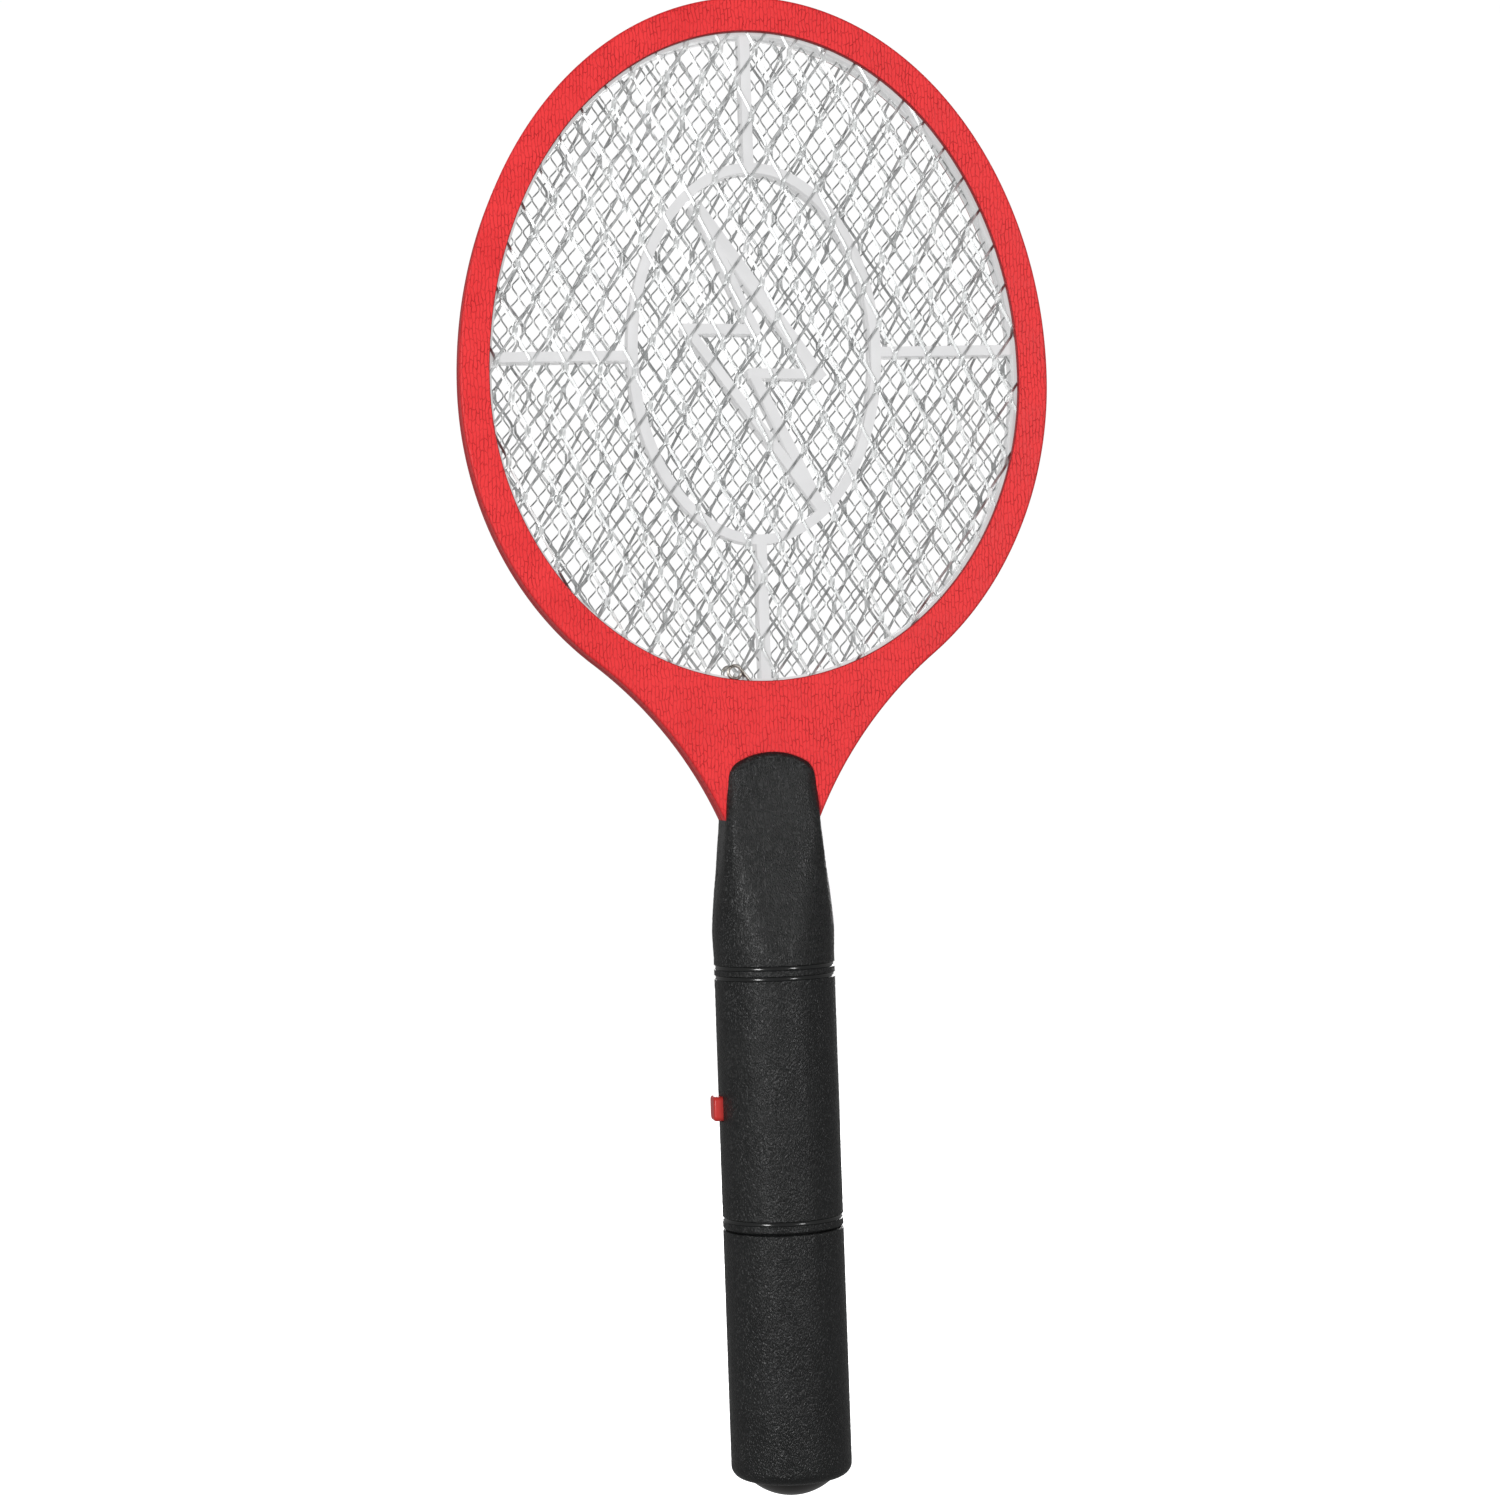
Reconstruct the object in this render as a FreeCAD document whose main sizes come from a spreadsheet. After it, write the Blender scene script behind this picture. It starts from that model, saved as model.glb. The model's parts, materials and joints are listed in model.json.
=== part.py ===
import FreeCAD, Part
import math
import os

from FreeCAD import Placement, Rotation, Vector

# Electric fly swatter, racket type. Millimetres.
# +Z runs up the handle to the tip of the head, +X is the side away from the push button,
# and the front face looks along -Y. The origin is the lowest point of the end cap, on the handle's axis.

SIZES = {
    # oval head: two half ellipses that meet at the widest line
    "head_centre_height": 328.0,
    "head_half_width": 87.0,
    "head_rise": 111.6,
    "head_drop": 100.0,
    "opening_half_width": 78.3,
    "opening_rise": 101.6,
    "opening_drop": 88.5,
    # neck: each flank is one arc, tangent to the oval and ending at the root
    "neck_join_angle": 55.0,
    "neck_root_half_width": 14.0,
    "neck_root_height": 199.0,
    "tang_half_width": 10.2,
    "tang_bottom": 182.0,
    "tang_hole_radius": 3.3,
    # frame shells
    "frame_half_depth": 7.5,
    "frame_pocket": 5.0,
    "frame_wall": 2.0,
    "frame_edge_round": 0.8,
    # the stack between the frames, as distances from the mid plane
    "coarse_grid_thick": 0.5,
    "coarse_grid_near": 4.4,
    "fine_grid_thick": 0.36,
    "spacer_near": 0.3,
    "spacer_thick": 4.0,
    "grid_margin": 3.4,
    "spacer_margin": 5.5,
    "spacer_inset": 0.7,
    # expanded metal: short way, long way, strand width and lean of the long way
    "coarse_short_way": 10.2,
    "coarse_long_way": 19.3,
    "coarse_strand": 0.9,
    "front_lean": 4.7,
    "rear_lean": -2.0,
    "fine_short_way": 9.1,
    "fine_long_way": 12.86,
    "fine_strand": 0.6,
    "fine_lean": 5.0,
    "grid_rim": 1.0,
    "tab_half_width": 4.0,
    "tab_bottom": 230.0,
    # spacer lattice: oval ring, four spokes and the strokes of a bolt
    "ring_centre_height": 335.6,
    "ring_half_width": 37.6,
    "ring_half_height": 56.0,
    "ring_band": 2.9,
    "spoke_width": 2.9,
    "bolt_upper_stroke": 3.6,
    "bolt_lower_stroke": 2.7,
    "bolt_bar": 2.9,
    # wire contacts that press on the outer grids
    "contact_wire_radius": 0.5,
    "contact_loop_radius": 1.9,
    "contact_x": -9.6,
    "contact_height": 242.3,
    "contact_offset": 5.55,
    "contact_recess_depth": 1.25,
    # handle shells
    "handle_wall": 2.0,
    "grip_radius": 17.8,
    "grip_top": 158.5,
    "tongue_radius": 19.7,
    "tongue_clearance": 0.06,
    "groove_wire": 0.75,
    "groove_depth": 0.55,
    "groove_upper": 155.9,
    "groove_upper_pair": 152.9,
    "groove_lower": 81.9,
    "sleeve_seam": 78.7,
    "seam_half_gap": 0.1,
    "seam_round": 0.6,
    "collar_seat_radius": 16.1,
    "collar_seat_top": 92.3,
    "flange_seat_radius": 16.95,
    "flange_bottom": 84.1,
    "flange_top": 86.1,
    "flange_play": 0.15,
    # screws that pull the rear shell on to posts of the front shell
    "post_radius": 3.0,
    "post_low": 97.0,
    "post_middle": 165.0,
    "post_high": 190.0,
    "screw_radius": 1.3,
    "screw_head_radius": 2.5,
    "screw_head_thick": 1.6,
    "screw_grip": 8.5,
    "pilot_play": 0.06,
    "recess_radius": 3.0,
    # push button
    "button_height": 114.6,
    "button_length": 7.2,
    "button_depth": 8.0,
    "button_proud": 2.15,
    "button_corner": 1.3,
    "button_edge": 0.5,
    "button_play": 0.15,
    "button_flange_length": 9.4,
    "button_flange_depth": 10.2,
    "button_flange_face": -14.5,
    "button_flange_thick": 1.2,
    "button_peg_radius": 1.4,
    "button_peg_end": -12.0,
    # circuit board
    "board_left": -9.5,
    "board_right": 13.0,
    "board_bottom": 103.0,
    "board_top": 155.0,
    "board_face": 3.0,
    "board_thick": 1.6,
    "board_post_radius": 2.3,
    "board_hole_radius": 1.1,
    "board_screw_radius": 0.85,
    "board_screw_head_radius": 1.7,
    "board_screw_head_thick": 1.1,
    "board_screw_length": 7.0,
    # push switch on the board
    "switch_left": -9.5,
    "switch_side": 6.0,
    "plunger_tip": -11.95,
    "plunger_end": -8.0,
    "plunger_radius": 1.6,
    "plunger_play": 0.08,
    "switch_bore_depth": 4.2,
    # battery cradle
    "cradle_radius": 15.95,
    "cradle_bottom": 18.0,
    "cradle_floor": 2.0,
    "cradle_wall": 1.0,
    "bulkhead_bottom": 76.0,
    "bulkhead_thick": 2.5,
    "collar_top": 92.0,
    "collar_wall": 1.5,
    "flange_radius": 16.8,
    "cell_radius": 7.25,
    "cell_offset": 7.6,
    "cell_length": 50.5,
    "cell_nub_radius": 2.7,
    "cell_nub_length": 1.2,
    "contact_thick": 0.4,
    "contact_side": 9.0,
    "contact_gap": 0.05,
    "spring_wire": 0.35,
    "spring_radius": 3.2,
    "spring_turns": 3.0,
    "tag_width": 3.0,
    "tag_top": 82.0,
    # battery sleeve and end cap
    "sleeve_bore": 16.2,
    "sleeve_bottom": 5.75,
    "sleeve_floor": 2.0,
    "sleeve_edge_round": 3.4,
    "cap_hole_radius": 11.8,
    "cap_radius": 13.2,
    "cap_stem_radius": 11.65,
    "cap_stem_top": 9.6,
    "cap_bead_radius": 12.1,
    "cap_bead_bottom": 7.85,
    # insulated leads
    "lead_radius": 0.65,
    "lead_bend": 4.0,
}

doc = FreeCAD.newDocument("electric_fly_swatter")
sheet = doc.addObject("Spreadsheet::Sheet", "Sizes")
for row, (alias, number) in enumerate(SIZES.items(), start=1):
    sheet.set("A%d" % row, alias.replace("_", " "))
    sheet.set("B%d" % row, str(number))
    sheet.setAlias("B%d" % row, alias)
doc.recompute()

NODES = {}


def size(alias):
    """Read one driving dimension back from the sheet."""
    return float(getattr(sheet, alias))


def bind(thing, **expressions):
    """Tie properties of an object to sheet cells: bind(box, Length="Sizes.board_thick")."""
    for name, expression in expressions.items():
        thing.setExpression(name.replace("__", "."), expression)
    return thing


def node(label, thing):
    """Register a finished sub-part under the name of its file."""
    thing.Label = label
    NODES[label] = thing
    return thing


# ---------------------------------------------------------------- document helpers

def origin_plane(body, role):
    return next(item for item in body.Origin.OriginFeatures if item.Role == role)


def new_sketch(body, role, curves, height=None):
    """Sketch on an origin plane of the body, moved along the plane's normal by an expression."""
    sketch = body.newObject("Sketcher::SketchObject", "Outline")
    sketch.AttachmentSupport = (origin_plane(body, role), [""])
    sketch.MapMode = "FlatFace"
    if height:
        sketch.setExpression("AttachmentOffset.Base.z", height)
    for curve in curves:
        sketch.addGeometry(curve, False)
    return sketch


def pad(body, role, curves, length, height=None, backwards=False):
    sketch = new_sketch(body, role, curves, height)
    feature = body.newObject("PartDesign::Pad", "Pad")
    feature.Profile = sketch
    feature.Reversed = backwards
    bind(feature, Length=length)
    doc.recompute()
    return feature


def pocket(body, role, curves, length, height=None, backwards=False):
    """Cut a pocket and make sure that it took material away."""
    before = body.Shape.Volume
    sketch = new_sketch(body, role, curves, height)
    feature = body.newObject("PartDesign::Pocket", "Pocket")
    feature.Profile = sketch
    feature.Reversed = backwards
    bind(feature, Length=length)
    doc.recompute()
    if body.Shape.Volume > before - 0.01:
        raise RuntimeError("pocket cut nothing in " + body.Label)
    return feature


def round_edges(body, wanted, radius):
    """Fillet the edges of the body whose bounding box passes the wanted test."""
    base = body.Tip
    names = ["Edge%d" % index for index, edge in enumerate(base.Shape.Edges, start=1)
             if wanted(edge.BoundBox)]
    rounded = body.newObject("PartDesign::Fillet", "Round")
    rounded.Base = (base, names)
    bind(rounded, Radius=radius)
    doc.recompute()
    return rounded


def new_body(label):
    body = doc.addObject("PartDesign::Body", "Body")
    return node(label, body)


def box(length, width, height, corner):
    """Part::Box from expressions; corner holds three expressions."""
    thing = doc.addObject("Part::Box", "Box")
    bind(thing, Length=length, Width=width, Height=height)
    bind(thing, Placement__Base__x=corner[0], Placement__Base__y=corner[1], Placement__Base__z=corner[2])
    return thing


def cylinder(radius, height, base, axis=Vector(0, 0, 1)):
    """Part::Cylinder from expressions, standing on base and pointing along axis."""
    thing = doc.addObject("Part::Cylinder", "Cylinder")
    thing.Placement = Placement(Vector(), Rotation(Vector(0, 0, 1), axis))
    bind(thing, Radius=radius, Height=height)
    bind(thing, Placement__Base__x=base[0], Placement__Base__y=base[1], Placement__Base__z=base[2])
    return thing


def cut(base, tool):
    thing = doc.addObject("Part::Cut", "Cut")
    thing.Base = base
    thing.Tool = tool
    return thing


def common(first, second):
    thing = doc.addObject("Part::Common", "Common")
    thing.Base = first
    thing.Tool = second
    return thing


def fuse(*things):
    thing = doc.addObject("Part::MultiFuse", "Fusion")
    thing.Shapes = list(things)
    return thing


def group(*things):
    """Several separate solids that make one node, such as identical screws."""
    thing = doc.addObject("Part::Compound", "Group")
    thing.Links = list(things)
    return thing


def feature(shape):
    """A Part::Feature for a shape that neither a body nor a primitive gives."""
    thing = doc.addObject("Part::Feature", "Feature")
    thing.Shape = shape
    return thing


# ---------------------------------------------------------------- outlines

def line(start, end):
    return Part.LineSegment(start, end)


def closed_lines(points):
    return [line(start, end) for start, end in zip(points, points[1:] + points[:1])]


def rectangle(left, bottom, right, top):
    corners = [Vector(left, bottom), Vector(right, bottom), Vector(right, top), Vector(left, top)]
    return closed_lines(corners)


def circle(x, y, radius):
    return [Part.Circle(Vector(x, y), Vector(0, 0, 1), radius)]


def oval_arcs(half_width, rise, drop, join_angle=0.0):
    """Upper half ellipse and lower ellipse arcs, both with the long axis upright.

    The lower arcs stop join_angle short of the bottom point's opening, where the neck flanks start.
    """
    centre = Vector(0, size("head_centre_height"))
    upper = Part.Ellipse(centre + Vector(0, rise), centre - Vector(half_width, 0), centre)
    lower = Part.Ellipse(centre - Vector(0, drop), centre + Vector(half_width, 0), centre)
    quarter = math.pi / 2
    arcs = [Part.ArcOfEllipse(upper, -quarter, quarter)]
    if join_angle:
        join = quarter - math.radians(join_angle)
        arcs.append(Part.ArcOfEllipse(lower, join, quarter))
        arcs.append(Part.ArcOfEllipse(lower, -quarter, -join))
    else:
        arcs.append(Part.ArcOfEllipse(lower, -quarter, quarter))
    return arcs


def opening_outline(margin=0.0):
    """The head's opening, grown by margin."""
    return oval_arcs(size("opening_half_width") + margin, size("opening_rise") + margin,
                     size("opening_drop") + margin)


def neck_flank(inset):
    """Tangent point on the oval, a point half way, and the root of the right flank."""
    half_width = size("head_half_width") - inset
    drop = size("head_drop") - inset
    angle = math.radians(size("neck_join_angle"))
    start = Vector(half_width * math.cos(angle), size("head_centre_height") - drop * math.sin(angle))
    normal = Vector(math.cos(angle) / half_width, -math.sin(angle) / drop).normalize()
    root = Vector(size("neck_root_half_width") - inset, size("neck_root_height") + inset)
    chord = start - root
    radius = chord.dot(chord) / (-2 * normal.dot(chord))
    centre = start + normal * radius
    middle = centre + ((start + root) * 0.5 - centre).normalize() * radius
    return start, middle, root


def head_outline(inset=0.0):
    """Oval, two concave flanks, shoulders and the tang, as one closed outline."""
    curves = oval_arcs(size("head_half_width") - inset, size("head_rise") - inset,
                       size("head_drop") - inset, size("neck_join_angle"))
    start, middle, root = neck_flank(inset)
    tang = size("tang_half_width") - inset
    bottom = size("tang_bottom") - inset
    for side in (1, -1):
        mirrored = [Vector(side * point.x, point.y) for point in (start, middle, root)]
        curves.append(Part.Arc(*mirrored))
        shoulder = Vector(side * tang, root.y)
        curves.append(line(mirrored[2], shoulder))
        curves.append(line(shoulder, Vector(side * tang, bottom)))
    curves.append(line(Vector(tang, bottom), Vector(-tang, bottom)))
    return curves


def stroke(start, end, width):
    """Four corners of a straight bar with square ends half a width past its end points."""
    along = (end - start).normalize()
    across = Vector(-along.y, along.x) * (width / 2)
    past = along * (width / 2)
    corners = [start - past - across, end + past - across, end + past + across, start - past + across]
    return closed_lines(corners)


# ---------------------------------------------------------------- head

def make_frame(label, rear):
    """Open oval shell with a flared hollow neck and a tang that the handle holds.

    The XZ plane's normal is -Y, so the front shell is padded along it and the rear shell against it.
    """
    body = new_body(label)
    pad(body, "XZ_Plane", head_outline() + opening_outline(), "Sizes.frame_half_depth", backwards=rear)
    face = size("frame_half_depth") * (1 if rear else -1)
    round_edges(body, lambda edge: abs(edge.YMin - face) < 1e-4 and abs(edge.YMax - face) < 1e-4,
                "Sizes.frame_edge_round")
    pocket(body, "XZ_Plane", head_outline(size("frame_wall")), "Sizes.frame_pocket", backwards=not rear)
    pocket(body, "XZ_Plane", circle(0, size("post_high"), size("tang_hole_radius")),
           "Sizes.frame_half_depth", backwards=not rear)
    recess = rectangle(size("contact_x") - 3.2, 224.0, size("contact_x") + 8.2,
                       size("contact_height"))
    pocket(body, "XZ_Plane", recess, "Sizes.frame_pocket + Sizes.contact_recess_depth",
           backwards=not rear)
    return body


def bolt_strokes():
    """Centre lines of the bolt drawn by the spacer's bars, from its upper tip round and back."""
    points = [Vector(-15.6, 378.5), Vector(18.6, 329.4), Vector(-0.7, 329.8),
              Vector(18.4, 289.5), Vector(-19.7, 343.2), Vector(0.1, 342.8)]
    widths = ["bolt_upper_stroke", "bolt_bar", "bolt_bar", "bolt_lower_stroke",
              "bolt_bar", "bolt_bar"]
    ends = points[1:] + points[:1]
    return [stroke(start, end, size(width)) for start, end, width in zip(points, ends, widths)]


def make_spacer(label, rear):
    """White insulating spacer: outer band under the frame lip, lattice across the opening."""
    body = new_body(label)
    near = "Sizes.spacer_near" if not rear else "-Sizes.spacer_near"
    thick = "Sizes.spacer_thick"

    def plate(curves):
        pad(body, "XZ_Plane", curves, thick, near, rear)

    plate(opening_outline(size("spacer_margin")) + opening_outline(-size("spacer_inset")))
    centre = Vector(0, size("ring_centre_height"))
    overlap = 0.5
    top = size("head_centre_height") + size("opening_rise")
    bottom = size("head_centre_height") - size("opening_drop")
    side = size("opening_half_width")
    half_width = size("ring_half_width")
    half_height = size("ring_half_height")
    half_spoke = size("spoke_width") / 2
    spokes = [(-half_spoke, centre.y + half_height - overlap, half_spoke, top),
              (-half_spoke, bottom, half_spoke, centre.y - half_height + overlap),
              (half_width - overlap, centre.y - half_spoke, side, centre.y + half_spoke),
              (-side, centre.y - half_spoke, -half_width + overlap, centre.y + half_spoke)]
    for spoke in spokes[:2]:
        plate(rectangle(*spoke))
    ring = []
    for inset in (0.0, size("ring_band")):
        ellipse = Part.Ellipse(centre + Vector(0, half_height - inset),
                               centre - Vector(half_width - inset, 0), centre)
        ring.append(ellipse)
    plate(ring)
    for spoke in spokes[2:]:
        plate(rectangle(*spoke))
    for bar in bolt_strokes():
        plate(bar)
    return body


def oval_polygon(half_width, rise, drop, count=120):
    """Corners of a fine polygon on the oval, anticlockwise."""
    centre = size("head_centre_height")
    corners = []
    for index in range(count):
        angle = 2 * math.pi * index / count
        height = rise if math.sin(angle) > 0 else drop
        corners.append((half_width * math.cos(angle), centre + height * math.sin(angle)))
    return corners


def clip_to_convex(polygon, window):
    """Part of a polygon inside an anticlockwise convex window (Sutherland-Hodgman)."""
    for (ax, ay), (bx, by) in zip(window, window[1:] + window[:1]):
        def side(point):
            return (bx - ax) * (point[1] - ay) - (by - ay) * (point[0] - ax)

        kept = []
        for start, end in zip(polygon, polygon[1:] + polygon[:1]):
            start_side = side(start)
            end_side = side(end)
            if start_side >= 0:
                kept.append(start)
            if start_side * end_side < 0:
                share = start_side / (start_side - end_side)
                kept.append((start[0] + share * (end[0] - start[0]),
                             start[1] + share * (end[1] - start[1])))
        polygon = kept
        if len(polygon) < 3:
            return []
    return polygon


def polygon_area(polygon):
    total = 0.0
    for (ax, ay), (bx, by) in zip(polygon, polygon[1:] + polygon[:1]):
        total += ax * by - bx * ay
    return total / 2


def polygon_wire(polygon, depth):
    """Closed wire at y = depth; a hole's wire has to run the other way round than the outline's."""
    corners = [Vector(x, depth, z) for x, z in polygon]
    return Part.makePolygon(corners + corners[:1])


def mesh_holes(short_way, long_way, strand, lean, window):
    """Diamond holes of expanded metal, in staggered rows, cut off at the window's edge."""
    slant = math.hypot(short_way, long_way) / 2
    shrink = 1 - strand / (short_way * long_way / 2 / slant)
    turn = math.radians(lean)
    across = (math.cos(turn), math.sin(turn))
    along = (-math.sin(turn), math.cos(turn))
    reach = int(max(size("head_rise"), size("head_drop")) / short_way) + 4
    holes = []
    for row in range(-reach, reach + 1):
        for column in range(-reach, reach + 1):
            far = (column - row) * short_way / 2
            high = (column + row) * long_way / 2
            x = far * across[0] + high * along[0]
            z = size("head_centre_height") + far * across[1] + high * along[1]
            diamond = []
            for right, up in ((1, 0), (0, 1), (-1, 0), (0, -1)):
                step_x = right * short_way / 2 * shrink
                step_z = up * long_way / 2 * shrink
                diamond.append((x + step_x * across[0] + step_z * along[0],
                                z + step_x * across[1] + step_z * along[1]))
            clipped = clip_to_convex(diamond, window)
            if clipped and polygon_area(clipped) > strand * strand:
                holes.append(clipped[::-1])
    return holes


def make_grid(label, near, thick, short_way, long_way, strand, lean, tab=False):
    """Expanded metal sheet between y = near and y = near + thick."""
    margin = size("grid_margin")
    outer = oval_polygon(size("opening_half_width") + margin, size("opening_rise") + margin,
                         size("opening_drop") + margin)
    window = oval_polygon(size("opening_half_width") + margin - size("grid_rim"),
                          size("opening_rise") + margin - size("grid_rim"),
                          size("opening_drop") + margin - size("grid_rim"))
    if tab:
        half = size("tab_half_width")
        low = size("tab_bottom")
        left = [point for point in outer if point[0] < -half or point[1] > size("head_centre_height")]
        split = max(index for index, point in enumerate(outer) if point in left) + 1
        outer = [point for point in outer[:split] if point in left] + \
            [(-half, outer[split][1]), (-half, low), (half, low), (half, outer[split][1])] + \
            [point for point in outer[split:] if point[0] > half]
    wires = [polygon_wire(hole, near) for hole in
             mesh_holes(short_way, long_way, strand, lean, window)]
    face = Part.Face([polygon_wire(outer, near)] + wires)
    return node(label, feature(face.extrude(Vector(0, thick, 0))))


def make_grids():
    thick = size("coarse_grid_thick")
    near = size("coarse_grid_near")
    coarse = (size("coarse_short_way"), size("coarse_long_way"), size("coarse_strand"))
    make_grid("front_grid", -near - thick, thick, *coarse, size("front_lean"))
    make_grid("rear_grid", near, thick, *coarse, size("rear_lean"))
    fine = size("fine_grid_thick")
    make_grid("middle_grid", -fine / 2, fine, size("fine_short_way"), size("fine_long_way"),
              size("fine_strand"), size("fine_lean"), tab=True)


def bent_path(points, bend):
    """Straight runs joined by tangent arcs; bend is a radius or a list with one per inner point."""
    bends = [bend] * (len(points) - 2) if isinstance(bend, float) else bend
    edges = []
    start = points[0]
    for before, corner, after, radius in zip(points, points[1:], points[2:], bends):
        incoming = (corner - before).normalize()
        outgoing = (after - corner).normalize()
        turn = incoming.getAngle(outgoing)
        reach = radius * math.tan(turn / 2)
        arc_start = corner - incoming * reach
        arc_end = corner + outgoing * reach
        towards = (outgoing - incoming).normalize()
        middle = corner + towards * (radius / math.cos(turn / 2) - radius)
        edges.append(Part.LineSegment(start, arc_start).toShape())
        edges.append(Part.Arc(arc_start, middle, arc_end).toShape())
        start = arc_end
    edges.append(Part.LineSegment(start, points[-1]).toShape())
    return Part.Wire(edges)


def tube(path, radius):
    """Round solid swept along a path."""
    first = path.Edges[0]
    direction = first.tangentAt(first.FirstParameter)
    profile = Part.Wire(Part.makeCircle(radius, path.Vertexes[0].Point, direction))
    return path.makePipeShell([profile], True, True)


def make_grid_contact(label, side):
    """Stiff wire with an eye that lies on an outer grid and a tail down into the neck."""
    radius = size("contact_loop_radius")
    depth = side * size("contact_offset")
    centre = Vector(size("contact_x"), depth, size("contact_height"))
    start_angle = math.radians(-10)
    leave_angle = math.radians(38)

    def on_loop(angle):
        return centre + Vector(radius * math.cos(angle), 0, radius * math.sin(angle))

    turn = 2 * math.pi + start_angle - leave_angle
    middle = on_loop(leave_angle + turn / 2)
    eye = Part.Arc(on_loop(leave_angle + turn), middle, on_loop(leave_angle)).toShape()
    leave = on_loop(leave_angle)
    away = Vector(math.sin(leave_angle), 0, -math.cos(leave_angle))
    tail_bend = leave + away * 7.0
    tail_end = Vector(tail_bend.x + 0.6, depth, 226.5)
    tail = bent_path([leave, tail_bend, tail_end], 3.0)
    path = Part.Wire([eye] + tail.Edges)
    return node(label, feature(tube(path, size("contact_wire_radius"))))


# ---------------------------------------------------------------- handle

def superellipse(height, half_width, half_depth, power, count=32):
    """Closed smooth wire |x/a|^n + |y/b|^n = 1 at one height."""
    points = []
    for index in range(count):
        angle = 2 * math.pi * (index + 0.5) / count
        cosine = math.cos(angle)
        sine = math.sin(angle)
        scale = (abs(cosine / half_width) ** power + abs(sine / half_depth) ** power) ** (-1 / power)
        points.append(Vector(cosine * scale, sine * scale, height))
    curve = Part.BSplineCurve()
    curve.interpolate(Points=points, PeriodicFlag=True)
    return Part.Wire(curve.toShape())


# Height, half width, half depth and squareness of the handle above its round grip. The first section
# lies just inside the top of the grip, so that the two solids overlap.
HANDLE_SECTIONS = [(158.0, 17.5, 17.5, 2.0), (166.0, 17.9, 16.8, 2.1), (175.0, 17.2, 15.1, 2.5),
                   (186.0, 15.7, 13.1, 3.2), (198.0, 14.25, 11.3, 3.8), (209.0, 14.2, 10.2, 4.0),
                   (221.0, 14.2, 9.1, 4.0)]


def handle_loft(inset, first, last):
    sections = [superellipse(height, half_width - inset, half_depth - inset, power)
                for height, half_width, half_depth, power in HANDLE_SECTIONS[first:last]]
    return Part.makeLoft(sections, True, False)


def ring_groove(height):
    """Round-bottomed groove cut around the grip."""
    wire = size("groove_wire")
    thing = doc.addObject("Part::Torus", "Groove")
    thing.Placement = Placement(Vector(0, 0, height), Rotation())
    bind(thing, Radius1="Sizes.grip_radius + Sizes.groove_wire - Sizes.groove_depth",
         Radius2="Sizes.groove_wire")
    return thing


def seam_round():
    """Ring that rounds the lower outside edge of the handle, where the battery sleeve meets it."""
    height = size("sleeve_seam") + size("seam_half_gap")
    radius = size("seam_round")
    outer = size("grip_radius")
    beyond = outer + 1
    inner = Vector(outer - radius, 0, height)
    upper = Vector(outer, 0, height + radius)
    middle = Vector(outer - radius, 0, height + radius) + Vector(radius, 0, -radius) * math.sqrt(0.5)
    edges = [Part.Arc(inner, middle, upper).toShape(),
             Part.LineSegment(upper, Vector(beyond, 0, height + radius)).toShape(),
             Part.LineSegment(Vector(beyond, 0, height + radius), Vector(beyond, 0, height)).toShape(),
             Part.LineSegment(Vector(beyond, 0, height), inner).toShape()]
    return feature(Part.Face(Part.Wire(edges)).revolve(Vector(), Vector(0, 0, 1), 360))


def handle_outer():
    """Outside of both handle shells: round grip, blended hull and rounded tongue."""
    grip = cylinder("Sizes.grip_radius", "Sizes.grip_top - Sizes.sleeve_seam - Sizes.seam_half_gap",
                    ("0", "0", "Sizes.sleeve_seam + Sizes.seam_half_gap"))
    hull = feature(handle_loft(0.0, 0, None))
    lower = box("60", "60", "Sizes.neck_root_height - 60", ("-30", "-30", "60"))
    tongue = cylinder("Sizes.tongue_radius", "60", ("0", "30", "Sizes.neck_root_height"), Vector(0, -1, 0))
    return fuse(grip, common(hull, fuse(lower, tongue)))


def handle_hollow():
    """Everything that is taken out of the inside of both shells."""
    inner = "Sizes.grip_radius - Sizes.handle_wall"
    bore = cylinder(inner, "Sizes.grip_top - Sizes.collar_seat_top", ("0", "0", "Sizes.collar_seat_top"))
    seat = cylinder("Sizes.collar_seat_radius", "Sizes.collar_seat_top - 70", ("0", "0", "70"))
    flange = cylinder("Sizes.flange_seat_radius", "Sizes.flange_top - Sizes.flange_bottom + "
                      "2 * Sizes.flange_play", ("0", "0", "Sizes.flange_bottom - Sizes.flange_play"))
    hull = feature(handle_loft(size("handle_wall"), 0, 5))
    below_neck = box("60", "60", "57", ("-30", "-30", "140"))
    tang = box("2 * Sizes.tang_half_width + 0.4",
               "2 * Sizes.frame_half_depth + 2 * Sizes.tongue_clearance",
               "40", ("-Sizes.tang_half_width - 0.2",
                      "-Sizes.frame_half_depth - Sizes.tongue_clearance", "Sizes.tang_bottom - 1"))
    slot = box("60", "2 * Sizes.frame_half_depth + 2 * Sizes.tongue_clearance", "40",
               ("-30", "-Sizes.frame_half_depth - Sizes.tongue_clearance",
                "Sizes.neck_root_height - 0.1"))
    return fuse(bore, seat, flange, common(hull, below_neck), tang, slot)


def button_window():
    return box("8", "Sizes.button_depth + 2 * Sizes.button_play",
               "Sizes.button_length + 2 * Sizes.button_play",
               ("-22", "-Sizes.button_depth / 2 - Sizes.button_play",
                "Sizes.button_height - Sizes.button_length / 2 - Sizes.button_play"))


def half_space(rear):
    """Box on one side of the seam between the shells, the plane y = 0."""
    return box("80", "40", "300", ("-40", "0" if rear else "-40", "0"))


POST_HEIGHTS = ("Sizes.post_low", "Sizes.post_middle", "Sizes.post_high")
BOARD_POSTS = (("Sizes.board_right - 3.5", "Sizes.board_bottom + 3.5"),
               ("Sizes.board_left + 3.5", "Sizes.board_top - 3.5"))


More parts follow.
